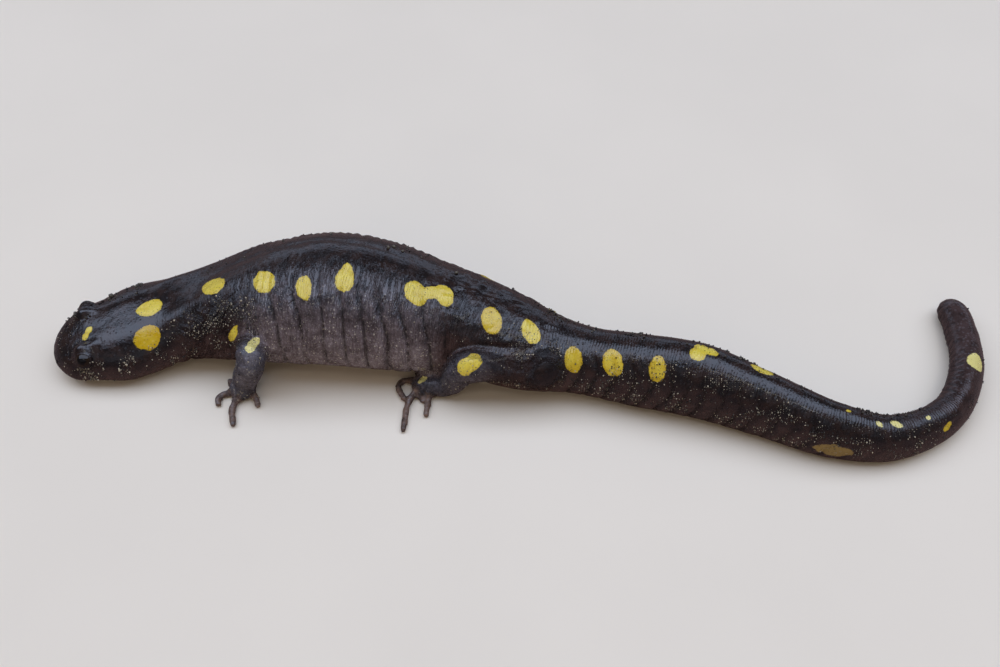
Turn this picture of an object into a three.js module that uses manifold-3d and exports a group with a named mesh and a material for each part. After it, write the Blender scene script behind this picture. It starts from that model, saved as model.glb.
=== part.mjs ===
// Spotted salamander, life size, lying on its belly with the end of the tail curled to its right side.
// Millimetres, +Z up. The head lies towards -X and the animal's left side faces -Y.
// The animal is modelled whole and parted by thin gaps; every node is one closed solid.
import * as THREE from 'three';
import { mergeVertices } from 'three/addons/utils/BufferGeometryUtils.js';
import Module from 'manifold-3d';

const wasm = await Module();
wasm.setup();

// ---------------------------------------------------------------- driving dimensions

const GAP = 0.3;            // clear space between neighbouring solids
const RING_STEP = 2.7;      // spacing of the sections along the body
const BODY_SIDES = 24;      // points round one section of the body
const LIMB_SIDES = 10;      // points round one section of a limb
const TOE_SIDES = 6;        // points round one section of a toe
const BALL_SIDES = 14;      // points round an eye, a lid or a socket
const BALL_ROWS = 8;        // rows from pole to pole of an eye, a lid or a socket
const PALM_ROWS = 6;        // rows from pole to pole of a palm
const LIMB_RING_STEP = 1.9; // spacing of the sections along a limb
const MERGE = 1e-4;         // distance under which two corners are one
const NEAR = 0.05;          // step along the body over which its direction is measured
const REACH = 60;           // more than the reach of any limb
const SIT = 0.04;           // share of the depth below a section's middle that is pressed flat
const FULLNESS = 2.12;      // power of the sections' superellipse; 2 is an ellipse
const SNOUT_ROUND = { half: 4.6, height: 4.4 };  // lengths over which the snout closes
const TIP_ROUND = { half: 3.2, height: 3.2 };    // lengths over which the tail tip closes
const END_PINCH = 0.12;     // distance of the first section from the very end of the body
const END_RINGS = [0.35, 1.1]; // extra sections near the ends, as distances from the first or last

// The body from snout to tail tip. x, y: place on the ground; half: half width; height: depth of
// the section; lean: degrees that the back leans to the right side; low: share of the height that
// lies below the widest level; lift: clearance of the underside above the ground.
const STATIONS = [
  { name: 'snout',     x: -73.5, y:  -6.7, half:  5.4,  height:  4.7, lean: -5, low: 0.45, lift: 1.0 },
  { name: 'muzzle',    x: -70.2, y:  -5.9, half:  6.2,  height:  6.1, lean: -7, low: 0.45, lift: 0.6 },
  { name: 'eyes',      x: -67.2, y:  -5.1, half:  7.0,  height:  7.7, lean: -8, low: 0.45, lift: 0.3 },
  { name: 'jaw',       x: -61.6, y:  -3.9, half:  8.1,  height:  9.4, lean: -7, low: 0.45, lift: 0.0 },
  { name: 'nape',      x: -56.4, y:  -2.1, half:  8.1,  height: 10.6, lean: -2, low: 0.47, lift: 0.0 },
  { name: 'neck',      x: -50.3, y:  -0.9, half:  8.3, height: 12.5, lean:  8, low: 0.5,  lift: 0.0 },
  { name: 'shoulder',  x: -42.5, y:  -0.7, half:  9.9,  height: 16.2, lean: 16, low: 0.5,  lift: 0.0 },
  { name: 'chest',     x: -34.8, y:  -0.6, half: 11.3,  height: 19.1, lean: 20, low: 0.5,  lift: 0.0 },
  { name: 'belly',     x: -26.6, y:  -0.8, half: 12.0,  height: 20.4, lean: 21, low: 0.5,  lift: 0.0 },
  { name: 'flank',     x: -17.2, y:  -2.2, half: 11.1,  height: 19.5, lean: 20, low: 0.5,  lift: 0.0 },
  { name: 'loin',      x:  -6.8, y:  -4.0, half:  8.7,  height: 16.4, lean: 18, low: 0.5,  lift: 0.0 },
  { name: 'hips',      x:   3.9, y:  -8.0, half:  7.6,  height: 14.1, lean: 15, low: 0.5,  lift: 0.0 },
  { name: 'vent',      x:  12.8, y:  -9.9, half:  5.4,  height: 11.2, lean: 12, low: 0.5,  lift: 0.0 },
  { name: 'tail_root', x:  22.6, y: -12.7, half:  5.15, height: 12.4, lean: 10, low: 0.5,  lift: 0.0 },
  { name: 'tail_fore', x:  31.6, y: -15.1, half:  4.95, height: 13.0, lean:  8, low: 0.5,  lift: 0.0 },
  { name: 'tail_mid',  x:  41.0, y: -18.9, half:  4.2,  height: 11.4, lean:  7, low: 0.5,  lift: 0.0 },
  { name: 'tail_rear', x:  51.4, y: -23.3, half:  3.55, height:  9.7, lean:  8, low: 0.5,  lift: 0.0 },
  { name: 'tail_low',  x:  61.0, y: -24.0, half:  3.0,  height:  7.6, lean: 14, low: 0.5,  lift: 0.0 },
  { name: 'tail_bend', x:  70.8, y: -19.0, half:  2.6,  height:  6.5, lean: 22, low: 0.5,  lift: 0.0 },
  { name: 'tail_rise', x:  76.3, y:  -9.6, half:  2.6,  height:  6.1, lean: 30, low: 0.5,  lift: 0.0 },
  { name: 'tail_end',  x:  77.5, y:   0.4, half:  2.5,  height:  5.4, lean: 35, low: 0.5,  lift: 0.0 },
  { name: 'tip',       x:  76.7, y:   5.4, half:  2.2,  height:  4.6, lean: 35, low: 0.5,  lift: 0.0 },
];

// Lengths of flesh along the body, each from the last one's end to a place given as a station and
// the share of the way on to the next station.
const LENGTHS = [
  { name: 'head',   colour: 0x1b1a22, end: ['nape', 0.2] },
  { name: 'neck',   colour: 0x1c1b21, end: ['neck', 0.9] },
  { name: 'chest',  colour: 0x1e1b1f, end: ['chest', 0.4] },
  { name: 'belly',  colour: 0x211c20, end: ['flank', 0.2] },
  { name: 'loin',   colour: 0x1f1b1f, end: ['loin', 0.45] },
  { name: 'pelvis', colour: 0x1c191d, end: ['vent', 0.3] },
  { name: 'tail_1', colour: 0x1c191d, end: ['tail_root', 0.8] },
  { name: 'tail_2', colour: 0x1d1a1d, end: ['tail_mid', 0.35] },
  { name: 'tail_3', colour: 0x1e1a1d, end: ['tail_rear', 0.7] },
  { name: 'tail_4', colour: 0x1f1a1c, end: ['tail_low', 0.65] },
  { name: 'tail_5', colour: 0x201b1c, end: ['tail_rise', 0.0] },
  { name: 'tail_6', colour: 0x211b1c, end: ['tip', 0.0] },
];

// The eyes: side and up are measured from the middle of the section at their place on the body.
// turn: degrees that the line through both eyes is turned, which puts the left one ahead.
const EYE = { place: ['muzzle', 0.85], side: 4.8, up: 2.8, turn: 6, radius: 1.5, lid: 2.2, lidIn: 0.8 };

// Each limb: its joints from the root inside the body to the palm, with the radius there. Each toe
// leaves the middle of the palm: heading in degrees from +X, length, and the degrees that it bends
// round its knuckle, whose place is a share of the length.
const LIMBS = [
  {
    name: 'fore_left', parts: ['upper_arm', 'forearm', 'hand'],
    root: { x: -39.6, y: -7.0, z: 10.6, r: 2.7 },
    middle: { x: -39.0, y: -13.1, z: 9.4, r: 2.45 },
    ankle: { x: -41.2, y: -12.4, z: 2.9, r: 1.95 },
    palm: { x: -41.8, y: -12.7, z: 1.15, r: 2.0 },
    toes: [
      { heading: 143, length: 3.4, bend: 10, knuckle: 0.5, r: 0.76 },
      { heading: 193, length: 6.0, bend: 94, knuckle: 0.66, r: 0.54 },
      { heading: 246, length: 7.5, bend: 38, knuckle: 0.48, r: 0.54 },
      { heading: 336, length: 4.7, bend: -46, knuckle: 0.42, r: 0.54 },
    ],
  },
  {
    name: 'fore_right', parts: ['upper_arm', 'forearm', 'hand'],
    root: { x: -40.5, y: 5.6, z: 6.0, r: 2.7 },
    middle: { x: -35.8, y: 12.0, z: 4.6, r: 2.4 },
    ankle: { x: -40.4, y: 13.2, z: 2.5, r: 1.9 },
    palm: { x: -43.2, y: 12.6, z: 1.15, r: 2.0 },
    toes: [
      { heading: 222, length: 4.0, bend: -12, knuckle: 0.5, r: 0.7 },
      { heading: 190, length: 5.8, bend: -14, knuckle: 0.5, r: 0.62 },
      { heading: 162, length: 6.4, bend: 10, knuckle: 0.5, r: 0.64 },
      { heading: 132, length: 3.9, bend: 10, knuckle: 0.5, r: 0.62 },
    ],
  },
  {
    name: 'hind_left', parts: ['thigh', 'shank', 'foot'],
    root: { x: 5.4, y: -12.2, z: 7.6, r: 3.3 },
    middle: { x: -5.0, y: -13.3, z: 8.0, r: 3.0 },
    ankle: { x: -8.4, y: -12.9, z: 2.6, r: 1.85 },
    palm: { x: -12.2, y: -11.6, z: 1.25, r: 2.1 },
    toes: [
      { heading: 116, length: 3.7, bend: 10, knuckle: 0.5, r: 0.62 },
      { heading: 163, length: 8.3, bend: 134, knuckle: 0.52, r: 0.52 },
      { heading: 228, length: 10.2, bend: 38, knuckle: 0.38, r: 0.52 },
      { heading: 262, length: 3.5, bend: -4, knuckle: 0.5, r: 0.5 },
      { heading: 290, length: 6.4, bend: -26, knuckle: 0.3, r: 0.52 },
    ],
  },
  {
    name: 'hind_right', parts: ['thigh', 'shank', 'foot'],
    root: { x: 4.0, y: -5.4, z: 6.0, r: 3.1 },
    middle: { x: -4.5, y: 4.0, z: 4.6, r: 2.8 },
    ankle: { x: -7.6, y: 6.8, z: 2.4, r: 1.85 },
    palm: { x: -10.6, y: 7.9, z: 1.15, r: 2.05 },
    toes: [
      { heading: 224, length: 3.8, bend: -14, knuckle: 0.5, r: 0.64 },
      { heading: 198, length: 5.8, bend: -16, knuckle: 0.5, r: 0.6 },
      { heading: 172, length: 7.2, bend: -10, knuckle: 0.5, r: 0.6 },
      { heading: 146, length: 6.4, bend: 10, knuckle: 0.5, r: 0.6 },
      { heading: 116, length: 4.2, bend: 10, knuckle: 0.5, r: 0.6 },
    ],
  },
];
const LIMB_COLOUR = 0x262022;
const DIGIT_COLOUR = 0x3b302c;
const EYE_COLOUR = 0x07070a;
const PALM_LONG = 1.2;      // the palm's length against its width
const PALM_DEEP = 0.6;      // the palm's depth against its width
const KNUCKLE_SPAN = 0.22;  // share of a toe's length on each side of its knuckle that bends
const TOE_BELLY = 0.9;      // height of a toe's middle against its radius, which leaves a flat below
const TOE_SETTLE = 0.6;     // share of a toe's length over which it comes down from the palm
const TOE_SWELL = 0.15;     // how much thicker a toe is at the palm
const TOE_STEPS = 8;        // steps along a toe's line
const TOE_RINGS = 5;        // sections along a toe before its round end
const TOE_END = [0.45, 0.08]; // the last sections, as shares of the round end's length from the tip

// ---------------------------------------------------------------- the body's line

const radians = THREE.MathUtils.degToRad;
const KEYS = ['x', 'y', 'half', 'height', 'lean', 'low', 'lift'];
const KNOTS = [0];
for (let i = 1; i < STATIONS.length; i++) {
  const step = Math.hypot(STATIONS[i].x - STATIONS[i - 1].x, STATIONS[i].y - STATIONS[i - 1].y);
  KNOTS.push(KNOTS[i - 1] + step);
}
const BODY_LENGTH = KNOTS[KNOTS.length - 1];

/** Slope of one station value at station i, by the difference over its neighbours. */
function slope(key, i) {
  const before = Math.max(i - 1, 0);
  const after = Math.min(i + 1, STATIONS.length - 1);
  return (STATIONS[after][key] - STATIONS[before][key]) / (KNOTS[after] - KNOTS[before]);
}

/** All station values at distance t from the snout, by a smooth cubic through the stations. */
function bodyAt(t) {
  let i = 0;
  while (i < KNOTS.length - 2 && t > KNOTS[i + 1]) i++;
  const step = KNOTS[i + 1] - KNOTS[i];
  const u = (t - KNOTS[i]) / step;
  const v = 1 - u;
  const at = {};
  for (const key of KEYS) {
    const from = STATIONS[i][key] * (1 + 2 * u) + slope(key, i) * step * u;
    const to = STATIONS[i + 1][key] * (1 + 2 * v) - slope(key, i + 1) * step * v;
    at[key] = from * v * v + to * u * u;
  }
  return at;
}

/** Distance along the body of a station, or of a place between it and the next one. */
function placeOf([name, share]) {
  const i = STATIONS.findIndex((station) => station.name === name);
  const next = Math.min(i + 1, STATIONS.length - 1);
  return KNOTS[i] + share * (KNOTS[next] - KNOTS[i]);
}

/** Quarter-ellipse closing of an end: 0 at the end, 1 from the given length on. */
function closing(distance, length) {
  const rest = 1 - THREE.MathUtils.clamp(distance / length, 0, 1);
  return Math.sqrt(1 - rest * rest);
}

/** The frame of a section: its middle, the direction to the right side, and its sizes. */
function frameAt(t) {
  const at = bodyAt(t);
  const ahead = bodyAt(Math.min(t + NEAR, BODY_LENGTH));
  const behind = bodyAt(Math.max(t - NEAR, 0));
  const along = new THREE.Vector2(ahead.x - behind.x, ahead.y - behind.y).normalize();
  const lean = radians(at.lean);
  const depth = Math.hypot(at.half * Math.sin(lean), at.height * at.low * Math.cos(lean));
  const fromTip = BODY_LENGTH - t;
  return {
    ...at,
    lean,
    right: new THREE.Vector2(-along.y, along.x),
    middle: depth * (1 - SIT) + at.lift,
    closeHalf: closing(t, SNOUT_ROUND.half) * closing(fromTip, TIP_ROUND.half),
    closeHeight: closing(t, SNOUT_ROUND.height) * closing(fromTip, TIP_ROUND.height),
  };
}

/** A point of a section's own plane, side to the right and up from its middle, set on the ground. */
function inSection(frame, side, up, floor) {
  const across = side * Math.cos(frame.lean) + up * Math.sin(frame.lean);
  const height = -side * Math.sin(frame.lean) + up * Math.cos(frame.lean);
  const x = frame.x + frame.right.x * across;
  const y = frame.y + frame.right.y * across;
  return new THREE.Vector3(x, y, Math.max(frame.middle + height, floor));
}

/** Corners of the body's section at t: a superellipse, leaning, pressed flat where it rests. */
function bodySection(t, grow) {
  const frame = frameAt(t);
  const corners = [];
  for (let k = 0; k < BODY_SIDES; k++) {
    const angle = (2 * Math.PI * k) / BODY_SIDES;
    const c = Math.cos(angle);
    const s = Math.sin(angle);
    const share = s > 0 ? 1 - frame.low : frame.low;
    const power = 2 / FULLNESS;
    const side = Math.sign(c) * Math.abs(c) ** power * (frame.half * frame.closeHalf + grow);
    const up = Math.sign(s) * Math.abs(s) ** power * (frame.height * share * frame.closeHeight + grow);
    corners.push(inSection(frame, side, up, -grow));
  }
  return corners;
}

// ---------------------------------------------------------------- solids

/** Closed skin over a row of rings with equal corner counts; flat fans close both ends. */
function skinOver(rings) {
  const sides = rings[0].length;
  const middleOf = (ring) => ring.reduce((sum, p) => sum.add(p), new THREE.Vector3()).divideScalar(sides);
  const points = rings.flat();
  points.push(middleOf(rings[0]), middleOf(rings[rings.length - 1]));
  const first = rings.length * sides;
  const last = first + 1;
  const lastRing = (rings.length - 1) * sides;
  const index = [];
  for (let k = 0; k < sides; k++) {
    const next = (k + 1) % sides;
    for (let i = 0; i < rings.length - 1; i++) {
      const a = i * sides + k;
      const b = i * sides + next;
      index.push(a, b, a + sides, b, b + sides, a + sides);
    }
    index.push(first, next, k);
    index.push(last, lastRing + k, lastRing + next);
  }
  const geometry = new THREE.BufferGeometry();
  const flat = points.flatMap((p) => [p.x, p.y, p.z]);
  geometry.setAttribute('position', new THREE.Float32BufferAttribute(flat, 3));
  geometry.setIndex(index);
  return geometry;
}

/** A three.js geometry as a manifold solid. */
function toSolid(geometry) {
  const bare = geometry.clone();
  bare.deleteAttribute('normal');
  bare.deleteAttribute('uv');
  const merged = mergeVertices(bare, MERGE);
  const vertProperties = new Float32Array(merged.attributes.position.array);
  const triVerts = new Uint32Array(merged.index.array);
  return new wasm.Manifold(new wasm.Mesh({ numProp: 3, vertProperties, triVerts }));
}

/** A manifold solid as a three.js geometry. */
function toGeometry(solid) {
  const mesh = solid.getMesh();
  const geometry = new THREE.BufferGeometry();
  geometry.setAttribute('position', new THREE.BufferAttribute(new Float32Array(mesh.vertProperties), 3));
  geometry.setIndex(new THREE.BufferAttribute(new Uint32Array(mesh.triVerts), 1));
  return geometry;
}

/** The biggest lump of a solid, without the slivers that a cut may leave beside it. */
function mainLump(solid) {
  const lumps = solid.decompose();
  return lumps.reduce((best, lump) => (lump.volume() > best.volume() ? lump : best));
}

/** Places of the rings from t0 to t1, closer together towards an end that closes. */
function ringPlaces(t0, t1) {
  const count = Math.ceil((t1 - t0) / RING_STEP) + 1;
  const places = [];
  for (let i = 0; i < count; i++) places.push(t0 + ((t1 - t0) * i) / (count - 1));
  if (t0 < RING_STEP) places.splice(1, 0, ...END_RINGS.map((step) => t0 + step));
  if (BODY_LENGTH - t1 < RING_STEP) places.push(...END_RINGS.map((step) => t1 - step));
  return places.sort((a, b) => a - b);
}

/** Solid of the body between two distances from the snout. */
function bodyLength(t0, t1, grow = 0) {
  return skinOver(ringPlaces(t0, t1).map((t) => bodySection(t, grow)));
}

/**
 * Solid of round sections along a curve. shares: places of the sections on the curve; radiusAt: their
 * radius; reference: a direction that the curve never follows, which keeps the sections from turning.
 */
function roundSweep(curve, shares, radiusAt, sides, reference) {
  const rings = shares.map((u) => {
    const middle = curve.getPoint(u);
    const tangent = curve.getTangent(u);
    const across = new THREE.Vector3().crossVectors(tangent, reference).normalize();
    const upward = new THREE.Vector3().crossVectors(across, tangent);
    const ring = [];
    for (let k = 0; k < sides; k++) {
      const angle = (2 * Math.PI * k) / sides;
      const point = middle.clone();
      point.addScaledVector(upward, radiusAt(u) * Math.cos(angle));
      point.addScaledVector(across, radiusAt(u) * Math.sin(angle));
      point.z = Math.max(point.z, 0);
      ring.push(point);
    }
    return ring;
  });
  return skinOver(rings);
}

/** Even shares from u0 to u1 in the given number of steps. */
function evenShares(u0, u1, steps) {
  return Array.from({ length: steps + 1 }, (_, i) => u0 + ((u1 - u0) * i) / steps);
}

// ---------------------------------------------------------------- limbs

const AXIS_X = new THREE.Vector3(1, 0, 0);
const AXIS_Y = new THREE.Vector3(0, 1, 0);
const AXIS_Z = new THREE.Vector3(0, 0, 1);
const vector = ({ x, y, z }) => new THREE.Vector3(x, y, z);

/** Curve and radius of a limb from its root in the body to its palm. */
function limbLine(limb) {
  const joints = [limb.root, limb.middle, limb.ankle, limb.palm];
  const curve = new THREE.CatmullRomCurve3(joints.map(vector), false, 'centripetal');
  const radiusAt = (u) => {
    const i = Math.min(Math.floor(u * 3), 2);
    return THREE.MathUtils.lerp(joints[i].r, joints[i + 1].r, u * 3 - i);
  };
  return { curve, radiusAt };
}

/** All the space on one side of a limb's joint, at share u of its curve: ahead for sign 1. */
function spaceBeyond(curve, u, sign) {
  const direction = curve.getTangent(u).multiplyScalar(sign);
  const face = curve.getPoint(u).addScaledVector(direction, GAP / 2);
  const block = new THREE.BoxGeometry(REACH, REACH, REACH).translate(0, 0, REACH / 2);
  block.applyQuaternion(new THREE.Quaternion().setFromUnitVectors(AXIS_Z, direction));
  return toSolid(block.translate(face.x, face.y, face.z));
}

/** One toe: an arc on the ground from the middle of the palm, with a round end. */
function toeSolid(palm, toe) {
  const points = [];
  let x = palm.x;
  let y = palm.y;
  for (let i = 0; i <= TOE_STEPS; i++) {
    const u = i / TOE_STEPS;
    const drop = THREE.MathUtils.smoothstep(u, 0, TOE_SETTLE);
    points.push(new THREE.Vector3(x, y, THREE.MathUtils.lerp(palm.z, toe.r * TOE_BELLY, drop)));
    const bent = THREE.MathUtils.smoothstep(u, toe.knuckle - KNUCKLE_SPAN, toe.knuckle + KNUCKLE_SPAN);
    const heading = radians(toe.heading + toe.bend * bent);
    x += (Math.cos(heading) * toe.length) / TOE_STEPS;
    y += (Math.sin(heading) * toe.length) / TOE_STEPS;
  }
  const curve = new THREE.CatmullRomCurve3(points);
  const end = toe.r / toe.length;
  const radiusAt = (u) => toe.r * (1 + TOE_SWELL * (1 - u)) * closing(1 - u, end);
  const shares = [...evenShares(0, 1 - end, TOE_RINGS), ...TOE_END.map((share) => 1 - end * share)];
  return toSolid(roundSweep(curve, shares, radiusAt, TOE_SIDES, AXIS_Z));
}

/** Palm or sole: a flattened ball turned to the middle toe, pressed flat on the ground. */
function palmSolid(palm, heading) {
  const ball = new THREE.SphereGeometry(palm.r, LIMB_SIDES, PALM_ROWS);
  ball.scale(PALM_LONG, 1, PALM_DEEP);
  ball.rotateZ(radians(heading));
  ball.translate(palm.x, palm.y, palm.z);
  const position = ball.attributes.position;
  for (let i = 0; i < position.count; i++) position.setZ(i, Math.max(position.getZ(i), 0));
  return toSolid(ball);
}

/** The three solids of a limb, parted at its joints and cut clear of the body. */
function limbSolids(limb, bodyRoom) {
  const { curve, radiusAt } = limbLine(limb);
  const reference = limb.name.startsWith('fore') ? AXIS_X : AXIS_Y;
  const steps = Math.ceil(curve.getLength() / LIMB_RING_STEP);
  const whole = toSolid(roundSweep(curve, evenShares(0, 1, steps), radiusAt, LIMB_SIDES, reference));
  const [middle, ankle] = [1 / 3, 2 / 3];
  const upper = whole.intersect(spaceBeyond(curve, middle, -1));
  const below = whole.intersect(spaceBeyond(curve, middle, 1));
  const lower = below.intersect(spaceBeyond(curve, ankle, -1));
  const middleToe = limb.toes[2];
  let end = below.add(palmSolid(limb.palm, middleToe.heading));
  for (const toe of limb.toes) end = end.add(toeSolid(limb.palm, toe));
  end = end.intersect(spaceBeyond(curve, ankle, 1));
  return [upper, lower, end].map((solid) => mainLump(solid.subtract(bodyRoom)));
}

// ---------------------------------------------------------------- head and eyes

/** Middle of an eye, on the right side for sign 1 and on the left side for sign -1. */
function eyeMiddle(sign, inward = 0) {
  const frame = frameAt(placeOf(EYE.place));
  const middle = inSection(frame, sign * (EYE.side - inward), EYE.up, 0);
  const behind = sign * EYE.side * Math.sin(radians(EYE.turn));
  middle.x += frame.right.y * behind;
  middle.y -= frame.right.x * behind;
  return middle;
}

/** A ball of the given radius round a point. */
function ballAt(middle, radius) {
  return new THREE.SphereGeometry(radius, BALL_SIDES, BALL_ROWS).translate(middle.x, middle.y, middle.z);
}

/** The head: its length of the body with a lid round each eye and a socket for it. */
function headSolid(length) {
  let head = toSolid(length);
  for (const sign of [-1, 1]) {
    head = head.add(toSolid(ballAt(eyeMiddle(sign, EYE.lidIn), EYE.lid)));
  }
  for (const sign of [-1, 1]) {
    head = head.subtract(toSolid(ballAt(eyeMiddle(sign), EYE.radius + GAP)));
  }
  return head;
}

// ---------------------------------------------------------------- the animal

const animal = new THREE.Group();

/** Adds one closed solid as a named node of wet skin or eye. */
function addNode(name, geometry, colour, roughness) {
  const material = new THREE.MeshStandardMaterial({ color: colour, roughness, metalness: 0 });
  const node = new THREE.Mesh(geometry, material);
  node.name = name;
  animal.add(node);
}

const SKIN_ROUGHNESS = 0.35;
const EYE_ROUGHNESS = 0.08;

let start = END_PINCH;
for (const { name, colour, end } of LENGTHS) {
  const last = name === LENGTHS[LENGTHS.length - 1].name;
  const stop = placeOf(end) - (last ? END_PINCH : GAP / 2);
  const length = bodyLength(start, stop);
  addNode(name, name === 'head' ? toGeometry(headSolid(length)) : length, colour, SKIN_ROUGHNESS);
  start = stop + GAP;
}

const bodyRoom = toSolid(bodyLength(END_PINCH, BODY_LENGTH - END_PINCH, GAP));
for (const limb of LIMBS) {
  limbSolids(limb, bodyRoom).forEach((solid, i) => {
    const colour = i < 2 ? LIMB_COLOUR : DIGIT_COLOUR;
    addNode(`${limb.name}_${limb.parts[i]}`, toGeometry(solid), colour, SKIN_ROUGHNESS);
  });
}

for (const [side, sign] of [['left', -1], ['right', 1]]) {
  addNode(`eye_${side}`, ballAt(eyeMiddle(sign), EYE.radius), EYE_COLOUR, EYE_ROUGHNESS);
}

// The origin goes to the middle of the animal's footprint, on the ground.
const box = new THREE.Box3().setFromObject(animal);
const centre = box.getCenter(new THREE.Vector3());
animal.position.set(-centre.x, -centre.y, -box.min.z);

export default animal;
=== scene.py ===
"""A spotted salamander at life size: one wet skin with yellow spots, two eyes and crumbs of soil.

Shapes are worked out in millimetres in the animal's own frame, where the head lies towards -X and
the left side faces -Y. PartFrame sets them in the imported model's frame, in metres.
"""
import logging
import math
from collections.abc import Callable
from dataclasses import dataclass
from enum import Enum

import bmesh
import bpy
import numpy as np
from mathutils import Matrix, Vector


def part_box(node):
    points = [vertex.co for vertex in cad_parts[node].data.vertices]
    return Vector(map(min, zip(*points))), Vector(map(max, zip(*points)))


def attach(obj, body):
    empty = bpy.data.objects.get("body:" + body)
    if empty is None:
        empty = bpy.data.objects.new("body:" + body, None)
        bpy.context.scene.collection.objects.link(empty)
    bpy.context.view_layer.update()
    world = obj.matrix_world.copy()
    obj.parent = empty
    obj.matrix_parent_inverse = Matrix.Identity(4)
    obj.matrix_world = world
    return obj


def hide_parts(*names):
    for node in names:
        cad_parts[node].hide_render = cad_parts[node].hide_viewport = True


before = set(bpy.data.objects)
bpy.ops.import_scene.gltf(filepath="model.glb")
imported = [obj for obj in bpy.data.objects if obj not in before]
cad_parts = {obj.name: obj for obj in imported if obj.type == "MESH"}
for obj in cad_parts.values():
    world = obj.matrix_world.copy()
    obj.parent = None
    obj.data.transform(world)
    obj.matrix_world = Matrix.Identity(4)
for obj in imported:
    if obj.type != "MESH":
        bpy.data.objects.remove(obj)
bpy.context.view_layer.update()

Array = np.ndarray
Faces = list[tuple[int, ...]]
MM = 0.001
TINY = 1e-9  # keeps divisions away from zero
FULL_TURN = 2.0 * math.pi
LATTICE = 48
UPWARD = np.array([0.0, 0.0, 1.0])
LOG = logging.getLogger("salamander")


# ---------------------------------------------------------------- small formulas


def smoothstep(low: float, high: float, value: Array) -> Array:
    """A ramp with level ends: 0 below low, 1 above high, 3u^2 - 2u^3 between them."""
    u = np.clip((value - low) / (high - low), 0.0, 1.0)
    return u * u * (3.0 - 2.0 * u)


def hump(distance: Array, width: float) -> Array:
    """A bell of height 1: e to the power of minus (distance / width) squared."""
    return np.exp(-((distance / width) ** 2))


def band(value: Array, start: float, end: float, soft: float) -> Array:
    """1 between start and end and 0 outside, with ramps of the length soft at both ends."""
    return smoothstep(start - soft, start + soft, value) * (1.0 - smoothstep(end - soft, end + soft, value))


def lattice_noise(points: Array, cell: float, seed: int) -> Array:
    """Smooth noise from 0 to 1: seeded random numbers on a cubic lattice, blended by smooth ramps.

    The lattice repeats every LATTICE cells.

    Args:
        points: Places, (n, 3).
        cell: Spacing of the lattice.
        seed: Seed of the random numbers.

    Returns:
        One value for each place.
    """
    table = np.random.default_rng(seed).random((LATTICE, LATTICE, LATTICE))
    scaled = points / cell
    low = np.floor(scaled).astype(int)
    share = scaled - low
    share = share * share * (3.0 - 2.0 * share)
    total = np.zeros(len(points))
    for corner in np.ndindex(2, 2, 2):
        weight = np.prod(np.where(np.array(corner) == 1, share, 1.0 - share), axis=1)
        at = (low + np.array(corner)) % LATTICE
        total += weight * table[at[:, 0], at[:, 1], at[:, 2]]
    return total


def unit(vectors: Array) -> Array:
    """Vectors made one long; the last axis holds x, y and z."""
    return vectors / np.maximum(np.linalg.norm(vectors, axis=-1, keepdims=True), TINY)


def turned(x: Array, y: Array, turn: float | Array) -> tuple[Array, Array]:
    """x and y turned anticlockwise by an angle in radians."""
    c, s = np.cos(turn), np.sin(turn)
    return x * c - y * s, x * s + y * c


def lengths_along(line: Array) -> Array:
    """Distance of each point of a line from its first point, measured along the line."""
    return np.concatenate([[0.0], np.cumsum(np.linalg.norm(np.diff(line, axis=0), axis=1))])


# ---------------------------------------------------------------- the body's line


@dataclass(frozen=True)
class Station:
    """One section of the body: place on the ground, half width, height, lean, share below, lift."""

    name: str
    x: float
    y: float
    half: float
    height: float
    lean: float
    low: float = 0.5
    lift: float = 0.0


STATIONS = (
    Station("snout", -73.5, -6.7, 5.4, 4.7, -5, 0.45, 1.0),
    Station("muzzle", -70.2, -5.9, 6.2, 6.1, -7, 0.45, 0.6),
    Station("eyes", -67.2, -5.1, 7.0, 7.7, -8, 0.45, 0.3),
    Station("jaw", -61.6, -3.9, 8.1, 9.4, -7, 0.45),
    Station("nape", -56.4, -2.1, 8.1, 10.6, -2, 0.47),
    Station("neck", -50.3, -0.9, 8.3, 12.5, 8),
    Station("shoulder", -42.5, -0.7, 9.9, 16.2, 16),
    Station("chest", -34.8, -0.6, 11.3, 19.1, 20),
    Station("belly", -26.6, -0.8, 12.0, 20.4, 21),
    Station("flank", -17.2, -2.2, 11.1, 19.5, 20),
    Station("loin", -6.8, -4.0, 8.7, 16.4, 18),
    Station("hips", 3.9, -8.0, 7.6, 14.1, 15),
    Station("vent", 12.8, -9.9, 5.4, 11.2, 12),
    Station("tail_root", 22.6, -12.7, 5.15, 12.4, 10),
    Station("tail_fore", 31.6, -15.1, 4.95, 13.0, 8),
    Station("tail_mid", 41.0, -18.9, 4.2, 11.4, 7),
    Station("tail_rear", 51.4, -23.3, 3.55, 9.7, 8),
    Station("tail_low", 61.0, -24.0, 3.0, 7.6, 14),
    Station("tail_bend", 70.8, -19.0, 2.6, 6.5, 22),
    Station("tail_rise", 76.3, -9.6, 2.6, 6.1, 30),
    Station("tail_end", 77.5, 0.4, 2.5, 5.4, 35),
    Station("tip", 76.7, 5.4, 2.2, 4.6, 35),
)


@dataclass
class Sections:
    """Sections of the body at many places along it: one entry of each array per place."""

    middle: Array  # (n, 3) middle of the section
    along: Array  # (n, 3) direction towards the tail
    right: Array  # (n, 3) level direction to the animal's right side
    half: Array
    above: Array
    below: Array
    lean: Array


@dataclass
class BodyPlace:
    """Where points lie on the body.

    t is the distance from the snout, angle the turn from the middle of the back with the right side
    positive, arc the same as a length over the skin. side and up lie in the section's own plane, and
    fill is 1 on the body's surface and more outside it.
    """

    t: Array
    angle: Array
    arc: Array
    side: Array
    up: Array
    fill: Array

    def degrees(self) -> Array:
        """Turn from the middle of the back to either side, in degrees."""
        return np.degrees(np.abs(self.angle))

    def around(self) -> Array:
        """Length over the skin from the middle of the back to either side."""
        return np.abs(self.arc)


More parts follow.
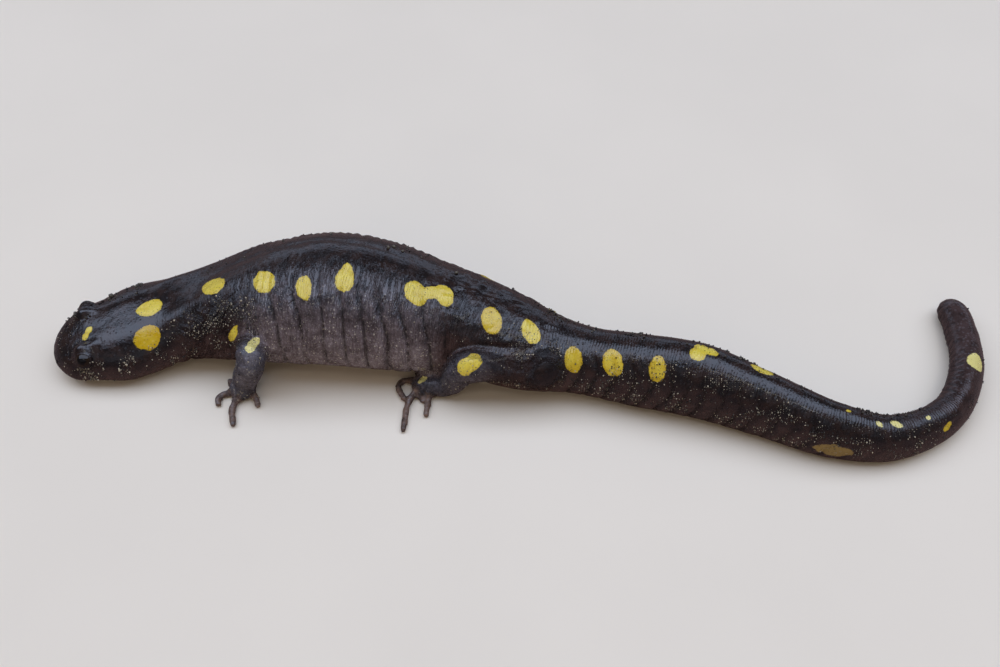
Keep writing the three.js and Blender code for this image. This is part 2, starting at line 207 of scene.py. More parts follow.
class BodyLine:
    """The body from snout to tail tip as leaning superellipses along a smooth line on the ground."""

    SNOUT_ROUND = (4.6, 4.4)  # lengths over which the snout's width and height close
    TIP_ROUND = (3.2, 3.2)  # the same for the tail's tip
    SIT = 0.04  # share of the depth below the middle that is pressed flat
    FULLNESS = 2.12  # power of the sections; 2 is an ellipse
    NEAR = 0.05  # step over which the line's direction is measured
    LINE_STEP = 0.25
    ARC_STEPS = (96, 48)  # entries of the table of arcs, along and around
    CHUNK = 8000  # points placed at a time
    LEAST_HALF = 0.3  # half size of a section that points are measured against, at least

    def __init__(self) -> None:
        """Lays out the stations by their distance from the snout and measures the skin's arcs."""
        rows = [(s.x, s.y, s.half, s.height, s.lean, s.low, s.lift) for s in STATIONS]
        self.rows = np.array(rows, float)
        steps = np.hypot(*np.diff(self.rows[:, :2], axis=0).T)
        self.knots = np.concatenate([[0.0], np.cumsum(steps)])
        self.length = float(self.knots[-1])
        slopes = np.empty_like(self.rows)
        slopes[1:-1] = (self.rows[2:] - self.rows[:-2]) / (self.knots[2:] - self.knots[:-2])[:, None]
        slopes[0] = (self.rows[1] - self.rows[0]) / self.knots[1]
        slopes[-1] = (self.rows[-1] - self.rows[-2]) / (self.knots[-1] - self.knots[-2])
        self.slopes = slopes
        self.line_t = np.arange(0.0, self.length, self.LINE_STEP)
        self.line = self.values(self.line_t)[:, :2]
        self.arcs = self._arc_table()

    def station(self, name: str, share: float = 0.0) -> float:
        """Distance from the snout of a station, or of a place between it and the next one."""
        i = [s.name for s in STATIONS].index(name)
        after = min(i + 1, len(STATIONS) - 1)
        return float(self.knots[i] + share * (self.knots[after] - self.knots[i]))

    def values(self, t: Array) -> Array:
        """Station values at distances t, by cubics whose slopes are taken over the neighbours."""
        i = np.clip(np.searchsorted(self.knots, t, side="right") - 1, 0, len(self.knots) - 2)
        step = (self.knots[i + 1] - self.knots[i])[:, None]
        u = (t - self.knots[i])[:, None] / step
        v = 1.0 - u
        start = self.rows[i] * (1 + 2 * u) + self.slopes[i] * step * u
        end = self.rows[i + 1] * (1 + 2 * v) - self.slopes[i + 1] * step * v
        return start * v * v + end * u * u

    @staticmethod
    def closing(distance: Array, length: float) -> Array:
        """Quarter ellipse that closes an end: 0 at the end, 1 from the given length on."""
        rest = 1.0 - np.clip(distance / length, 0.0, 1.0)
        return np.sqrt(1.0 - rest * rest)

    def sections(self, t: Array) -> Sections:
        """Sections at distances t from the snout."""
        t = np.clip(np.asarray(t, float), 0.0, self.length)
        x, y, half, height, lean, low, lift = self.values(t).T
        ahead = self.values(np.minimum(t + self.NEAR, self.length))[:, :2]
        along = unit(ahead - self.values(np.maximum(t - self.NEAR, 0.0))[:, :2])
        lean = np.radians(lean)
        depth = np.hypot(half * np.sin(lean), height * low * np.cos(lean))
        zeros = np.zeros(len(t))
        wide = self.closing(t, self.SNOUT_ROUND[0]) * self.closing(self.length - t, self.TIP_ROUND[0])
        tall = self.closing(t, self.SNOUT_ROUND[1]) * self.closing(self.length - t, self.TIP_ROUND[1])
        return Sections(
            middle=np.stack([x, y, depth * (1.0 - self.SIT) + lift], axis=1),
            along=np.stack([along[:, 0], along[:, 1], zeros], axis=1),
            right=np.stack([-along[:, 1], along[:, 0], zeros], axis=1),
            half=half * wide,
            above=height * (1.0 - low) * tall,
            below=height * low * tall,
            lean=lean,
        )

    def in_section(self, t: Array, side: Array, up: Array) -> Array:
        """Points of the sections' own planes, side to the right and up from the middle.

        Args:
            t: Distances from the snout.
            side: Lengths to the right in the leaning section.
            up: Lengths towards the back in the leaning section.

        Returns:
            Points (n, 3), none below the ground.
        """
        s = self.sections(t)
        across = side * np.cos(s.lean) + up * np.sin(s.lean)
        height = -side * np.sin(s.lean) + up * np.cos(s.lean)
        points = s.middle + s.right * across[:, None]
        points[:, 2] = np.maximum(points[:, 2] + height, 0.0)
        return points

    def surface(self, t: Array, angle: Array) -> Array:
        """Points of the skin at distances t and turns from the middle of the back.

        side = half * sin(angle)^(2/fullness) and up = above or below * cos(angle)^(2/fullness),
        each with its sign.
        """
        s = self.sections(t)
        power = 2.0 / self.FULLNESS
        sine, cosine = np.sin(angle), np.cos(angle)
        side = np.sign(sine) * np.abs(sine) ** power * s.half
        up = np.sign(cosine) * np.abs(cosine) ** power * np.where(cosine > 0, s.above, s.below)
        return self.in_section(t, side, up)

    def _arc_table(self) -> Array:
        """Lengths over the skin from the middle of the back, for a grid of t and angle."""
        rows, steps = self.ARC_STEPS
        t = np.repeat(np.linspace(0.0, self.length, rows), steps)
        table = []
        for sign in (-1.0, 1.0):
            angle = np.tile(np.linspace(0.0, math.pi, steps), rows) * sign
            points = self.surface(t, angle).reshape(rows, steps, 3)
            lengths = np.linalg.norm(np.diff(points, axis=1), axis=2).cumsum(axis=1)
            table.append(np.concatenate([np.zeros((rows, 1)), lengths], axis=1))
        return np.stack(table)

    def place(self, points: Array) -> BodyPlace:
        """Where the points lie on the body, from the nearest point of the line on the ground.

        Args:
            points: Points (n, 3).

        Returns:
            The place of each point.
        """
        t = np.empty(len(points))
        for rows in np.array_split(np.arange(len(points)), max(1, len(points) // self.CHUNK)):
            gaps = ((points[rows, None, :2] - self.line[None]) ** 2).sum(axis=2)
            i = np.clip(gaps.argmin(axis=1), 1, len(self.line) - 2)
            pick = np.arange(len(rows))
            before, at, after = gaps[pick, i - 1], gaps[pick, i], gaps[pick, i + 1]
            shift = 0.5 * (before - after) / np.maximum(before - 2 * at + after, TINY)
            t[rows] = self.line_t[i] + np.clip(shift, -1.0, 1.0) * self.LINE_STEP
        t = np.clip(t, 0.0, self.length)
        s = self.sections(t)
        gap = points - s.middle
        across, height = (gap * s.right).sum(axis=1), gap[:, 2]
        side = across * np.cos(s.lean) - height * np.sin(s.lean)
        up = across * np.sin(s.lean) + height * np.cos(s.lean)
        wide = np.abs(side) / np.maximum(s.half, self.LEAST_HALF)
        tall = np.abs(up) / np.maximum(np.where(up > 0, s.above, s.below), self.LEAST_HALF)
        power = self.FULLNESS / 2.0
        angle = np.arctan2(np.sign(side) * wide**power, np.sign(up) * tall**power)
        fill = (wide**self.FULLNESS + tall**self.FULLNESS) ** (1.0 / self.FULLNESS)
        return BodyPlace(t, angle, self._arc(t, angle), side, up, fill)

    def _arc(self, t: Array, angle: Array) -> Array:
        """Length over the skin from the middle of the back, read off the table between its entries."""
        rows, steps = self.ARC_STEPS
        a = t / self.length * (rows - 1)
        b = np.abs(angle) / math.pi * (steps - 1)
        i, j = np.minimum(a.astype(int), rows - 2), np.minimum(b.astype(int), steps - 2)
        u, v = a - i, b - j
        k = (angle > 0).astype(int)
        low = self.arcs[k, i, j] * (1 - v) + self.arcs[k, i, j + 1] * v
        high = self.arcs[k, i + 1, j] * (1 - v) + self.arcs[k, i + 1, j + 1] * v
        return np.sign(angle) * (low * (1 - u) + high * u)


# ---------------------------------------------------------------- limbs


@dataclass(frozen=True)
class Joint:
    """A joint of a limb: its middle and the flesh's radius there."""

    x: float
    y: float
    z: float
    r: float


@dataclass(frozen=True)
class Toe:
    """A toe: heading from +X and bend at its knuckle in degrees, length, the knuckle's share, radius."""

    heading: float
    length: float
    bend: float
    knuckle: float
    r: float


@dataclass(frozen=True)
class Limb:
    """A limb from its root inside the body to the palm, with its toes."""

    name: str
    root: Joint
    middle: Joint
    ankle: Joint
    palm: Joint
    toes: tuple[Toe, ...]


LIMBS = (
    Limb(
        "fore_left",
        Joint(-39.6, -7.0, 10.6, 2.7),
        Joint(-39.0, -13.1, 9.4, 2.45),
        Joint(-41.2, -12.4, 2.9, 1.95),
        Joint(-41.8, -12.7, 1.15, 2.0),
        (
            Toe(143, 3.4, 10, 0.5, 0.76),
            Toe(193, 6.0, 94, 0.66, 0.54),
            Toe(246, 7.5, 38, 0.48, 0.54),
            Toe(336, 4.7, -46, 0.42, 0.54),
        ),
    ),
    Limb(
        "fore_right",
        Joint(-40.5, 5.6, 6.0, 2.7),
        Joint(-35.8, 12.0, 4.6, 2.4),
        Joint(-40.4, 13.2, 2.5, 1.9),
        Joint(-43.2, 12.6, 1.15, 2.0),
        (
            Toe(222, 4.0, -12, 0.5, 0.7),
            Toe(190, 5.8, -14, 0.5, 0.62),
            Toe(162, 6.4, 10, 0.5, 0.64),
            Toe(132, 3.9, 10, 0.5, 0.62),
        ),
    ),
    Limb(
        "hind_left",
        Joint(5.4, -12.2, 7.6, 3.3),
        Joint(-5.0, -13.3, 8.0, 3.0),
        Joint(-8.4, -12.9, 2.6, 1.85),
        Joint(-12.2, -11.6, 1.25, 2.1),
        (
            Toe(116, 3.7, 10, 0.5, 0.62),
            Toe(163, 8.3, 134, 0.52, 0.52),
            Toe(228, 10.2, 38, 0.38, 0.52),
            Toe(262, 3.5, -4, 0.5, 0.5),
            Toe(290, 6.4, -26, 0.3, 0.52),
        ),
    ),
    Limb(
        "hind_right",
        Joint(4.0, -5.4, 6.0, 3.1),
        Joint(-4.5, 4.0, 4.6, 2.8),
        Joint(-7.6, 6.8, 2.4, 1.85),
        Joint(-10.6, 7.9, 1.15, 2.05),
        (
            Toe(224, 3.8, -14, 0.5, 0.64),
            Toe(198, 5.8, -16, 0.5, 0.6),
            Toe(172, 7.2, -10, 0.5, 0.6),
            Toe(146, 6.4, 10, 0.5, 0.6),
            Toe(116, 4.2, 10, 0.5, 0.6),
        ),
    ),
)


@dataclass
class Patch:
    """A closed piece of surface: points (n, 3) and the corner numbers of its faces."""

    points: Array
    faces: Faces


def tube_patch(rings: Array) -> Patch:
    """A tube over rings of points, closed by a fan of triangles at each end.

    Args:
        rings: Points (rows, sides, 3), turning so that the faces look outwards.

    Returns:
        The closed tube.
    """
    rows, sides = rings.shape[:2]
    a = np.arange((rows - 1) * sides).reshape(rows - 1, sides)
    b = np.roll(a, -1, axis=1)
    quads = np.stack([a, b, b + sides, a + sides], axis=-1).reshape(-1, 4)
    ends = np.array([rings[0].mean(axis=0), rings[-1].mean(axis=0)])
    k = np.arange(sides)
    first, last, tail = rows * sides, rows * sides + 1, (rows - 1) * sides
    start = np.stack([np.full(sides, first), np.roll(k, -1), k], axis=-1)
    stop = np.stack([np.full(sides, last), tail + k, tail + np.roll(k, -1)], axis=-1)
    faces = [tuple(f) for part in (quads, start, stop) for f in part.tolist()]
    return Patch(np.concatenate([rings.reshape(-1, 3), ends]), faces)


def round_tube(line: Array, radii: Array, sides: int, reference: Array) -> Patch:
    """A tube of round sections along a line.

    Args:
        line: Points (rows, 3) of the middle.
        radii: Radius at each of them.
        sides: Points round a section.
        reference: A direction that the line never follows.

    Returns:
        The closed tube, cut level at the ground.
    """
    tangent = unit(np.gradient(line, axis=0))
    across = unit(np.cross(tangent, reference))
    upward = np.cross(across, tangent)
    turn = np.linspace(0.0, FULL_TURN, sides, endpoint=False)
    spokes = upward[:, None] * np.cos(turn)[None, :, None] + across[:, None] * np.sin(turn)[None, :, None]
    rings = line[:, None] + spokes * radii[:, None, None]
    rings[..., 2] = np.maximum(rings[..., 2], 0.0)
    return tube_patch(rings)


def ball_patch(middle: Array, radii: tuple[float, float, float], heading: float = 0.0) -> Patch:
    """A closed ball or ellipsoid, turned about the vertical by its heading in degrees."""
    rows, sides = 20, 32
    lat = np.linspace(-math.pi / 2, math.pi / 2, rows + 2)[1:-1]
    lon = np.linspace(0.0, FULL_TURN, sides, endpoint=False)
    level = np.cos(lat)[:, None]
    x, y = radii[0] * level * np.cos(lon)[None], radii[1] * level * np.sin(lon)[None]
    x, y = turned(x, y, math.radians(heading))
    z = np.repeat(radii[2] * np.sin(lat)[:, None], sides, axis=1)
    rings = np.stack([x, y, z], axis=-1) + middle
    rings[..., 2] = np.maximum(rings[..., 2], 0.0)
    return tube_patch(rings)


class LimbShape:
    """The flesh of one limb: a bent tube from the root to the palm, a flat palm and the toes."""

    LINE_ROWS = 46
    SIDES = 28
    OWN = 1.9  # points nearer to the line than this, against its radius, belong to the limb
    FLARE = 0.42  # how much wider the limb grows where it leaves the body
    FLARE_END = 0.24  # share of the limb's line over which it does
    ROOT_ROUND = 1.5  # length of the round end inside the body, against the radius there
    ROOT_ROWS = (0.999, 0.95, 0.85, 0.7, 0.5, 0.25)  # places of the sections in that round end
    PALM = (1.2, 1.0, 0.6)  # the palm's half sizes against its radius
    KNUCKLE_SPAN = 0.22  # share of a toe over which it bends, to each side of the knuckle
    TOE_BELLY = 0.9  # height of a toe's middle above the ground, against its radius
    TOE_SETTLE = 0.6  # share of a toe over which it comes down from the palm
    TOE_SWELL = 0.15  # how much wider a toe is at its root
    TOE_ROWS = 26
    TOE_SIDES = 16
    TIP_ROWS = (0.99, 0.8, 0.6, 0.42, 0.27, 0.14, 0.05, 0.01)  # sections in a toe's round end
    TENDON_WIDTH = 0.34
    TENDON_SPAN = (0.5, 3.8, 0.5)  # stretch of a toe's line with a tendon, and its ramps
    TENDON_LEVEL = (0.8, 1.4)  # heights above the ground between which it comes in

    def __init__(self, limb: Limb) -> None:
        """Works out the limb's line and the lines of its toes."""
        self.limb = limb
        self.share = np.linspace(0.0, 1.0, self.LINE_ROWS)
        self.line = self._limb_line(self.share)
        joints = (limb.root, limb.middle, limb.ankle, limb.palm)
        radii = np.interp(self.share, [0, 1 / 3, 2 / 3, 1], [j.r for j in joints])
        flare = np.clip(1.0 - self.share / self.FLARE_END, 0.0, 1.0) ** 2
        self.radii = radii * (1.0 + self.FLARE * flare)
        self.length = float(lengths_along(self.line)[-1])
        self.toes = [self._toe_line(toe) for toe in limb.toes]

    @property
    def fore(self) -> bool:
        """Whether it is a fore limb."""
        return self.limb.name.startswith("fore")

    def _limb_line(self, share: Array) -> Array:
        """A centripetal Catmull-Rom curve through the four joints, with ends carried straight on."""
        limb = self.limb
        joints = np.array([(j.x, j.y, j.z) for j in (limb.root, limb.middle, limb.ankle, limb.palm)])
        control = np.concatenate([[2 * joints[0] - joints[1]], joints, [2 * joints[-1] - joints[-2]]])
        gaps = np.linalg.norm(np.diff(control, axis=0), axis=1) ** 0.5
        i = np.minimum((share * 3).astype(int), 2)
        u = (share * 3 - i)[:, None]
        p0, p1, p2, p3 = (control[i + k] for k in range(4))
        d0, d1, d2 = (gaps[i + k][:, None] for k in range(3))
        m1 = ((p1 - p0) / d0 - (p2 - p0) / (d0 + d1) + (p2 - p1) / d1) * d1
        m2 = ((p2 - p1) / d1 - (p3 - p1) / (d1 + d2) + (p3 - p2) / d2) * d1
        c2 = -3 * p1 + 3 * p2 - 2 * m1 - m2
        c3 = 2 * p1 - 2 * p2 + m1 + m2
        return p1 + m1 * u + c2 * u**2 + c3 * u**3

    def _toe_line(self, toe: Toe) -> tuple[Array, Array]:
        """The middle line and radii of a toe: an arc on the ground that ends round."""
        palm = self.limb.palm
        u = np.linspace(0.0, 1.0, self.TOE_ROWS)
        span = self.KNUCKLE_SPAN
        heading = np.radians(toe.heading + toe.bend * smoothstep(toe.knuckle - span, toe.knuckle + span, u))
        step = toe.length / (self.TOE_ROWS - 1)
        x = palm.x + np.concatenate([[0.0], np.cumsum(np.cos(heading[:-1]))]) * step
        y = palm.y + np.concatenate([[0.0], np.cumsum(np.sin(heading[:-1]))]) * step
        z = palm.z + (toe.r * self.TOE_BELLY - palm.z) * smoothstep(0.0, self.TOE_SETTLE, u)
        end = toe.r / toe.length
        share = np.concatenate([u[u < 1 - end], 1 - end * np.array(self.TIP_ROWS)])
        line = np.stack([np.interp(share, u, value) for value in (x, y, z)], axis=1)
        radii = toe.r * (1 + self.TOE_SWELL * (1 - share)) * BodyLine.closing(1 - share, end)
        return line, radii

    def patches(self) -> list[Patch]:
        """The closed pieces of the limb, which overlap each other and the body."""
        limb = self.limb
        reference = np.array([1.0, 0, 0]) if self.fore else np.array([0, 1.0, 0])
        palm = np.array([limb.palm.x, limb.palm.y, limb.palm.z])
        size = tuple(limb.palm.r * k for k in self.PALM)
        rest = np.array(self.ROOT_ROWS)
        back = unit(self.line[0] - self.line[2]) * self.radii[0] * self.ROOT_ROUND
        line = np.concatenate([self.line[0] + back * rest[:, None], self.line])
        radii = np.concatenate([self.radii[0] * np.sqrt(1.0 - rest**2), self.radii])
        pieces = [round_tube(line, radii, self.SIDES, reference)]
        pieces.append(ball_patch(palm, size, limb.toes[2].heading))
        for line, radii in self.toes:
            pieces.append(round_tube(line, radii, self.TOE_SIDES, UPWARD))
        return pieces

    def nearness(self, points: Array) -> tuple[Array, Array]:
        """Distance of points to the limb's line against its radius, and the share along the line."""
        gaps = np.linalg.norm(points[:, None] - self.line[None], axis=2) / self.radii[None]
        nearest = gaps.argmin(axis=1)
        return gaps[np.arange(len(points)), nearest], self.share[nearest]

    def _toe_gaps(self, points: Array, axes: int) -> tuple[Array, Array]:
        """Distances of points to the toes' lines, and lengths along those lines.

        Args:
            points: Points (n, 3).
            axes: 3 for distances in space, 2 for distances as seen from above.

        Returns:
            Two arrays (toes, n).
        """
        gaps, along = [], []
        for line, _ in self.toes:
            apart = np.linalg.norm(points[:, None, :axes] - line[None, :, :axes], axis=2)
            gaps.append(apart.min(axis=1))
            along.append(lengths_along(line)[apart.argmin(axis=1)])
        return np.array(gaps), np.array(along)

    def tendons(self, points: Array) -> Array:
        """Ridges over the bones of the toes on the back of the hand or foot, from 0 to 1."""
        gaps, along = self._toe_gaps(points, 2)
        ridges = hump(gaps, self.TENDON_WIDTH) * band(along, *self.TENDON_SPAN)
        return ridges.max(axis=0) * smoothstep(*self.TENDON_LEVEL, points[:, 2])

    def toe_place(self, points: Array) -> tuple[Array, Array]:
        """Distance of points to the nearest toe's line, and the length along that toe."""
        gaps, along = self._toe_gaps(points, 3)
        nearest, pick = gaps.argmin(axis=0), np.arange(len(points))
        return gaps[nearest, pick], along[nearest, pick]


# ---------------------------------------------------------------- eyes


@dataclass(frozen=True)
class EyeSeat:
    """Where the eyes sit and how their lids open; lengths in mm, angles in degrees."""

    station: str = "muzzle"
    share: float = 0.85
    side: float = 4.8
    up: float = 2.8
    turn: float = 6.0
    radius: float = 1.5
    lid_in: float = 0.8  # how far the skin's swelling lies inwards of the ball's middle
    lid_skin: float = 1.8  # radius of that swelling
    look_up: float = 42.0  # how far the eye looks up from level
    look_ahead: float = 16.0  # how far it looks ahead of straight sideways
    open_long: float = 0.95  # half width of the open part, as a turn round the ball
    open_tall: float = 0.72  # its half height
    lid_rise: float = 0.06  # how far the lid's edge stands off the ball
    behind: float = 0.32  # how far under the ball's surface the skin dives inside the slit
    reach: float = 2.2  # skin this near to the ball's surface is drawn over it


class Eyes:
    """Places of both eyes and the directions in which they look."""

    def __init__(self, body: BodyLine, seat: EyeSeat) -> None:
        """Sets both eyes on the body."""
        self.body = body
        self.seat = seat

    def middle(self, sign: int, inward: float = 0.0) -> Array:
        """Middle of an eye, on the right side for sign 1 and on the left side for sign -1."""
        seat = self.seat
        t = np.array([self.body.station(seat.station, seat.share)])
        point = self.body.in_section(t, np.array([sign * (seat.side - inward)]), np.array([seat.up]))[0]
        s = self.body.sections(t)
        return point + s.along[0] * sign * seat.side * math.sin(math.radians(seat.turn))

    def axes(self, sign: int) -> Array:
        """Three directions as rows: where the eye looks, along the lids' slit, and across it."""
        t = np.array([self.body.station(self.seat.station, self.seat.share)])
        s = self.body.sections(t)
        up_turn, ahead_turn = math.radians(self.seat.look_up), math.radians(self.seat.look_ahead)
        outward = s.right[0] * sign * math.cos(ahead_turn) - s.along[0] * math.sin(ahead_turn)
        look = outward * math.cos(up_turn) + UPWARD * math.sin(up_turn)
        slit = unit(np.cross(UPWARD, look))
        return np.stack([look, slit, np.cross(look, slit)])


# ---------------------------------------------------------------- relief of the skin


@dataclass(frozen=True)
class Swell:
    """A ridge along the body, or a furrow if height is negative.

    Its height is height * hump(across - middle, width), between start and end with ramps of the
    length soft, all in mm; across, middle and width may be degrees round the body instead.
    """

    height: float
    middle: float
    width: float
    start: float
    end: float
    soft: float


def swells(rows: tuple[Swell, ...], across: Array, t: Array) -> Array:
    """Sum of the rows' heights at distances across the body and along it."""
    total = np.zeros(len(t))
    for row in rows:
        total += row.height * hump(across - row.middle, row.width) * band(t, row.start, row.end, row.soft)
    return total


class HeadRelief:
    """Lids, mouth, nostrils, crown and cheeks of the head."""

    CROWN = (
        Swell(-0.16, 0.0, 1.5, 3.0, 9.0, 2.0),  # the furrow down the snout
        Swell(0.22, 3.3, 1.7, 9.0, 16.0, 2.5),  # muscles at the back of the head
        Swell(0.42, 3.3, 0.75, 4.4, 8.2, 1.1),  # brows
    )
    CHEEKS = (  # across is in degrees
        Swell(0.32, 66.0, 26.0, 10.5, 17.0, 3.0),  # jaw muscles
        Swell(0.12, 44.0, 10.0, 1.2, 3.6, 0.8),  # edge of the snout's top
        Swell(-0.14, 66.0, 11.0, 1.5, 4.4, 0.8),  # hollow below it
    )
    GRAIN = 0.10
    CORNER = 13.4  # distance of the mouth's corner from the snout
    NOSTRIL = (2.5, 0.9, 0.75)  # to the side, from the snout and up
    LID_EDGE = (0.86, 1.02)  # reach over which the skin rises to the lid's edge
    LID_BACK = (1.0, 1.6)  # and over which it runs back into the head
    LID_FADE = (1.7, 2.5)  # and over which the lids have no say any more
    LID_CLEAR = 0.07  # how far the rest of the skin stays off the ball, at least

    def __init__(self, body: BodyLine, eyes: Eyes) -> None:
        """Keeps the body and the eyes that the head is shaped round."""
        self.body = body
        self.eyes = eyes

    def heights(self, points: Array, at: BodyPlace) -> Array:
        """How far the skin stands out along its normal, in mm, at each point of the head."""
        total = swells(self.CROWN, np.abs(at.side), at.t) * (at.up > 0)
        total += swells(self.CHEEKS, at.degrees(), at.t)
        total += self._mouth(at, self.body.sections(at.t))
        total += self._nostrils(at)
        return total + self.GRAIN * (lattice_noise(points, 2.1, 5) - 0.5) * smoothstep(1.5, 4.0, at.t)

    def _mouth(self, at: BodyPlace, s: Sections) -> Array:
        """The line of the mouth: a narrow groove under a full upper lip, which dips to its corner."""
        corner = self.CORNER
        dip = 0.10 * np.sin(np.clip(at.t / corner, 0, 1) * math.pi) - 0.16 * smoothstep(9.0, corner, at.t)
        gap = at.up + (0.30 - dip) * s.below
        along = 1.0 - smoothstep(corner - 0.9, corner + 0.3, at.t)
        line = -0.30 * hump(gap, 0.17)
        lips = 0.13 * hump(gap - 0.5, 0.36) - 0.05 * hump(gap + 0.5, 0.3)
        end = -0.18 * hump(np.hypot(at.t - corner, gap * 1.2), 0.7)
        return (line + lips) * along + end

    def _nostrils(self, at: BodyPlace) -> Array:
        """Two small pits with a soft rim at the front corners of the snout."""
        side, t, up = self.NOSTRIL
        gap = np.hypot(np.hypot((np.abs(at.side) - side), (at.t - t) * 0.8), at.up - up)
        return -0.34 * hump(gap, 0.24) + 0.07 * hump(gap - 0.5, 0.22)

    def lids(self, points: Array) -> Array:
        """Points of the skin round the eyes, drawn over each ball as lids with an open slit.

        In the eye's own turned directions, reach = hypot(turn along / open_long, turn across /
        open_tall) is 1 on the lids' edge. Inside it the skin dives behind the ball, at it the edge
        stands off the ball by lid_rise, and outside it the skin runs back into the head.

        Args:
            points: Points of the skin (n, 3).

        Returns:
            The moved points.
        """
        moved = points.copy()
        seat = self.eyes.seat
        for sign in (-1, 1):
            middle, axes = self.eyes.middle(sign), self.eyes.axes(sign)
            gap = points - middle
            size = np.linalg.norm(gap, axis=1)
            toward = unit(gap)
            ahead, along, across = (toward @ axis for axis in axes)
            turn = np.arccos(np.clip(ahead, -1.0, 1.0))
            turn = turn / np.maximum(np.hypot(along, across), 1e-6)
            reach = np.hypot(turn * along / seat.open_long, turn * across / seat.open_tall)
            behind = seat.radius - seat.behind
            edge = seat.radius + seat.lid_rise * (0.4 + 0.6 * smoothstep(-0.5, 0.5, across))
            inner = behind + (edge - behind) * smoothstep(*self.LID_EDGE, reach)
            outer = edge + (size - edge) * smoothstep(*self.LID_BACK, reach)
            wanted = np.where(reach < self.LID_EDGE[1], inner, outer)
            hold = 1.0 - smoothstep(*self.LID_FADE, reach)
            near = size < seat.radius + seat.reach
            settled = size + (wanted - size) * np.where(near, hold, 0.0)
            clear = np.maximum(settled, seat.radius + self.LID_CLEAR)
            settled = np.where(near & (reach > 1.1), clear, settled)
            moved += toward * (settled - size)[:, None]
        return moved


@dataclass(frozen=True)
class Groove:
    """A costal groove: distance from the snout at mid flank, and how deep it is against the others."""

    t: float
    deep: float = 1.0


class TrunkRelief:
    """Costal grooves, the furrow of the back, neck folds and belly of the trunk."""

    GROOVES = (
        Groove(36.0, 0.4),
        Groove(39.9, 0.8),
        Groove(43.6),
        Groove(48.0),
        Groove(52.0),
        Groove(55.2),
        Groove(58.2, 1.2),
        Groove(61.3, 0.7),
        Groove(65.3, 0.8),
        Groove(69.2, 0.5),
    )
    SLANT = 1.7  # how far a groove's upper end lies ahead of its lower end
    LINE = ((4.5, 11.5), (23.0, 28.0))  # lengths over the skin where a groove comes in and goes out
    VALLEY = ((5.0, 12.0), (18.0, 23.0))  # the same for the valley round it
    LINE_DEEP = 0.80
    RIB_STEP = 1.25
    RIBS = (33.0, 62.0, 3.0)  # stretch with fine wrinkles between the grooves
    RUMP = (63.0, 85.0, 2.5)  # stretch with puckered skin
    NECK = (
        Swell(0.36, 4.4, 1.5, 19.0, 37.0, 3.5),  # crests beside the nape
        Swell(-0.10, 0.0, 1.9, 19.0, 37.0, 3.5),  # the furrow between them
    )

    def heights(self, points: Array, at: BodyPlace) -> Array:
        """How far the skin stands out along its normal, in mm, at each point of the trunk."""
        around = at.around()
        wander = lattice_noise(points, 4.0, 11) - 0.5
        total = self._costal(points, at, around, wander)
        total -= 0.07 * hump(at.arc + 0.5 * wander, 0.8) * band(at.t, 25.0, 80.0, 5.0)
        total += self._neck(at, around, wander)
        total += 0.16 * (lattice_noise(points, 2.3, 12) - 0.5) * band(at.t, 20.0, 76.0, 4.0)
        rump = band(at.t, *self.RUMP) * (1.0 - smoothstep(6.5, 10.5, around))
        return total + 0.52 * (np.abs(lattice_noise(points, 1.25, 13) - 0.5) - 0.25) * rump

    def _costal(self, points: Array, at: BodyPlace, around: Array, wander: Array) -> Array:
        """Narrow grooves down the flanks, each in a wide shallow valley."""
        total = np.zeros(len(at.t))
        for groove in self.GROOVES:
            line = groove.t - self.SLANT * (1.0 - smoothstep(9.0, 16.5, around)) + 0.6 * wander
            gap = at.t - line
            length, wide = (
                smoothstep(*start, around) * (1.0 - smoothstep(*end, around))
                for start, end in (self.LINE, self.VALLEY)
            )
            valley = (0.13 * hump(gap + 0.85, 0.5) - 0.26 * hump(gap, 0.95)) * wide
            total += groove.deep * (valley - self.LINE_DEEP * hump(gap, 0.26) * length)
        swell = 0.18 * band(at.t, 35.0, 70.0, 3.0) * smoothstep(8.0, 14.0, around)
        fine = np.sin((at.t + 1.4 * wander + 0.04 * around) * FULL_TURN / self.RIB_STEP)
        upper = band(around, 3.5, 12.5, 2.0) * band(at.t, *self.RIBS)
        return total + swell + 0.08 * fine * upper * (0.4 + 1.2 * lattice_noise(points, 3.0, 14))

    def _neck(self, at: BodyPlace, around: Array, wander: Array) -> Array:
        """The fold behind the jaw, the throat fold, and creases between the neck and the arms."""
        angle = at.degrees()
        total = swells(self.NECK, around, at.t)
        total -= 0.42 * hump(around - 9.2 - wander, 1.9) * band(at.t, 20.5, 31.0, 2.5)
        jaw = hump(at.t - 19.6 - 0.6 * wander, 0.55) * smoothstep(52.0, 86.0, angle)
        slanted = at.t - 22.6 + 0.05 * (angle - 120.0) - 0.8 * wander
        throat = hump(slanted, 0.5) * smoothstep(78.0, 100.0, angle)
        total -= 0.30 * jaw + 0.34 * throat
        line = around + 0.42 * (at.t - 27.0) + 0.7 * wander
        fan = (0.5 + 0.5 * np.sin(line * FULL_TURN / 1.15)) ** 2 - 0.375
        total += 0.30 * fan * band(at.t, 23.0, 33.0, 1.8) * band(around, 6.5, 16.0, 1.8)
        armpit = hump(at.t - 31.2 - 0.22 * (around - 13.5), 0.45) * band(around, 12.0, 18.5, 1.0)
        return total - 0.28 * armpit


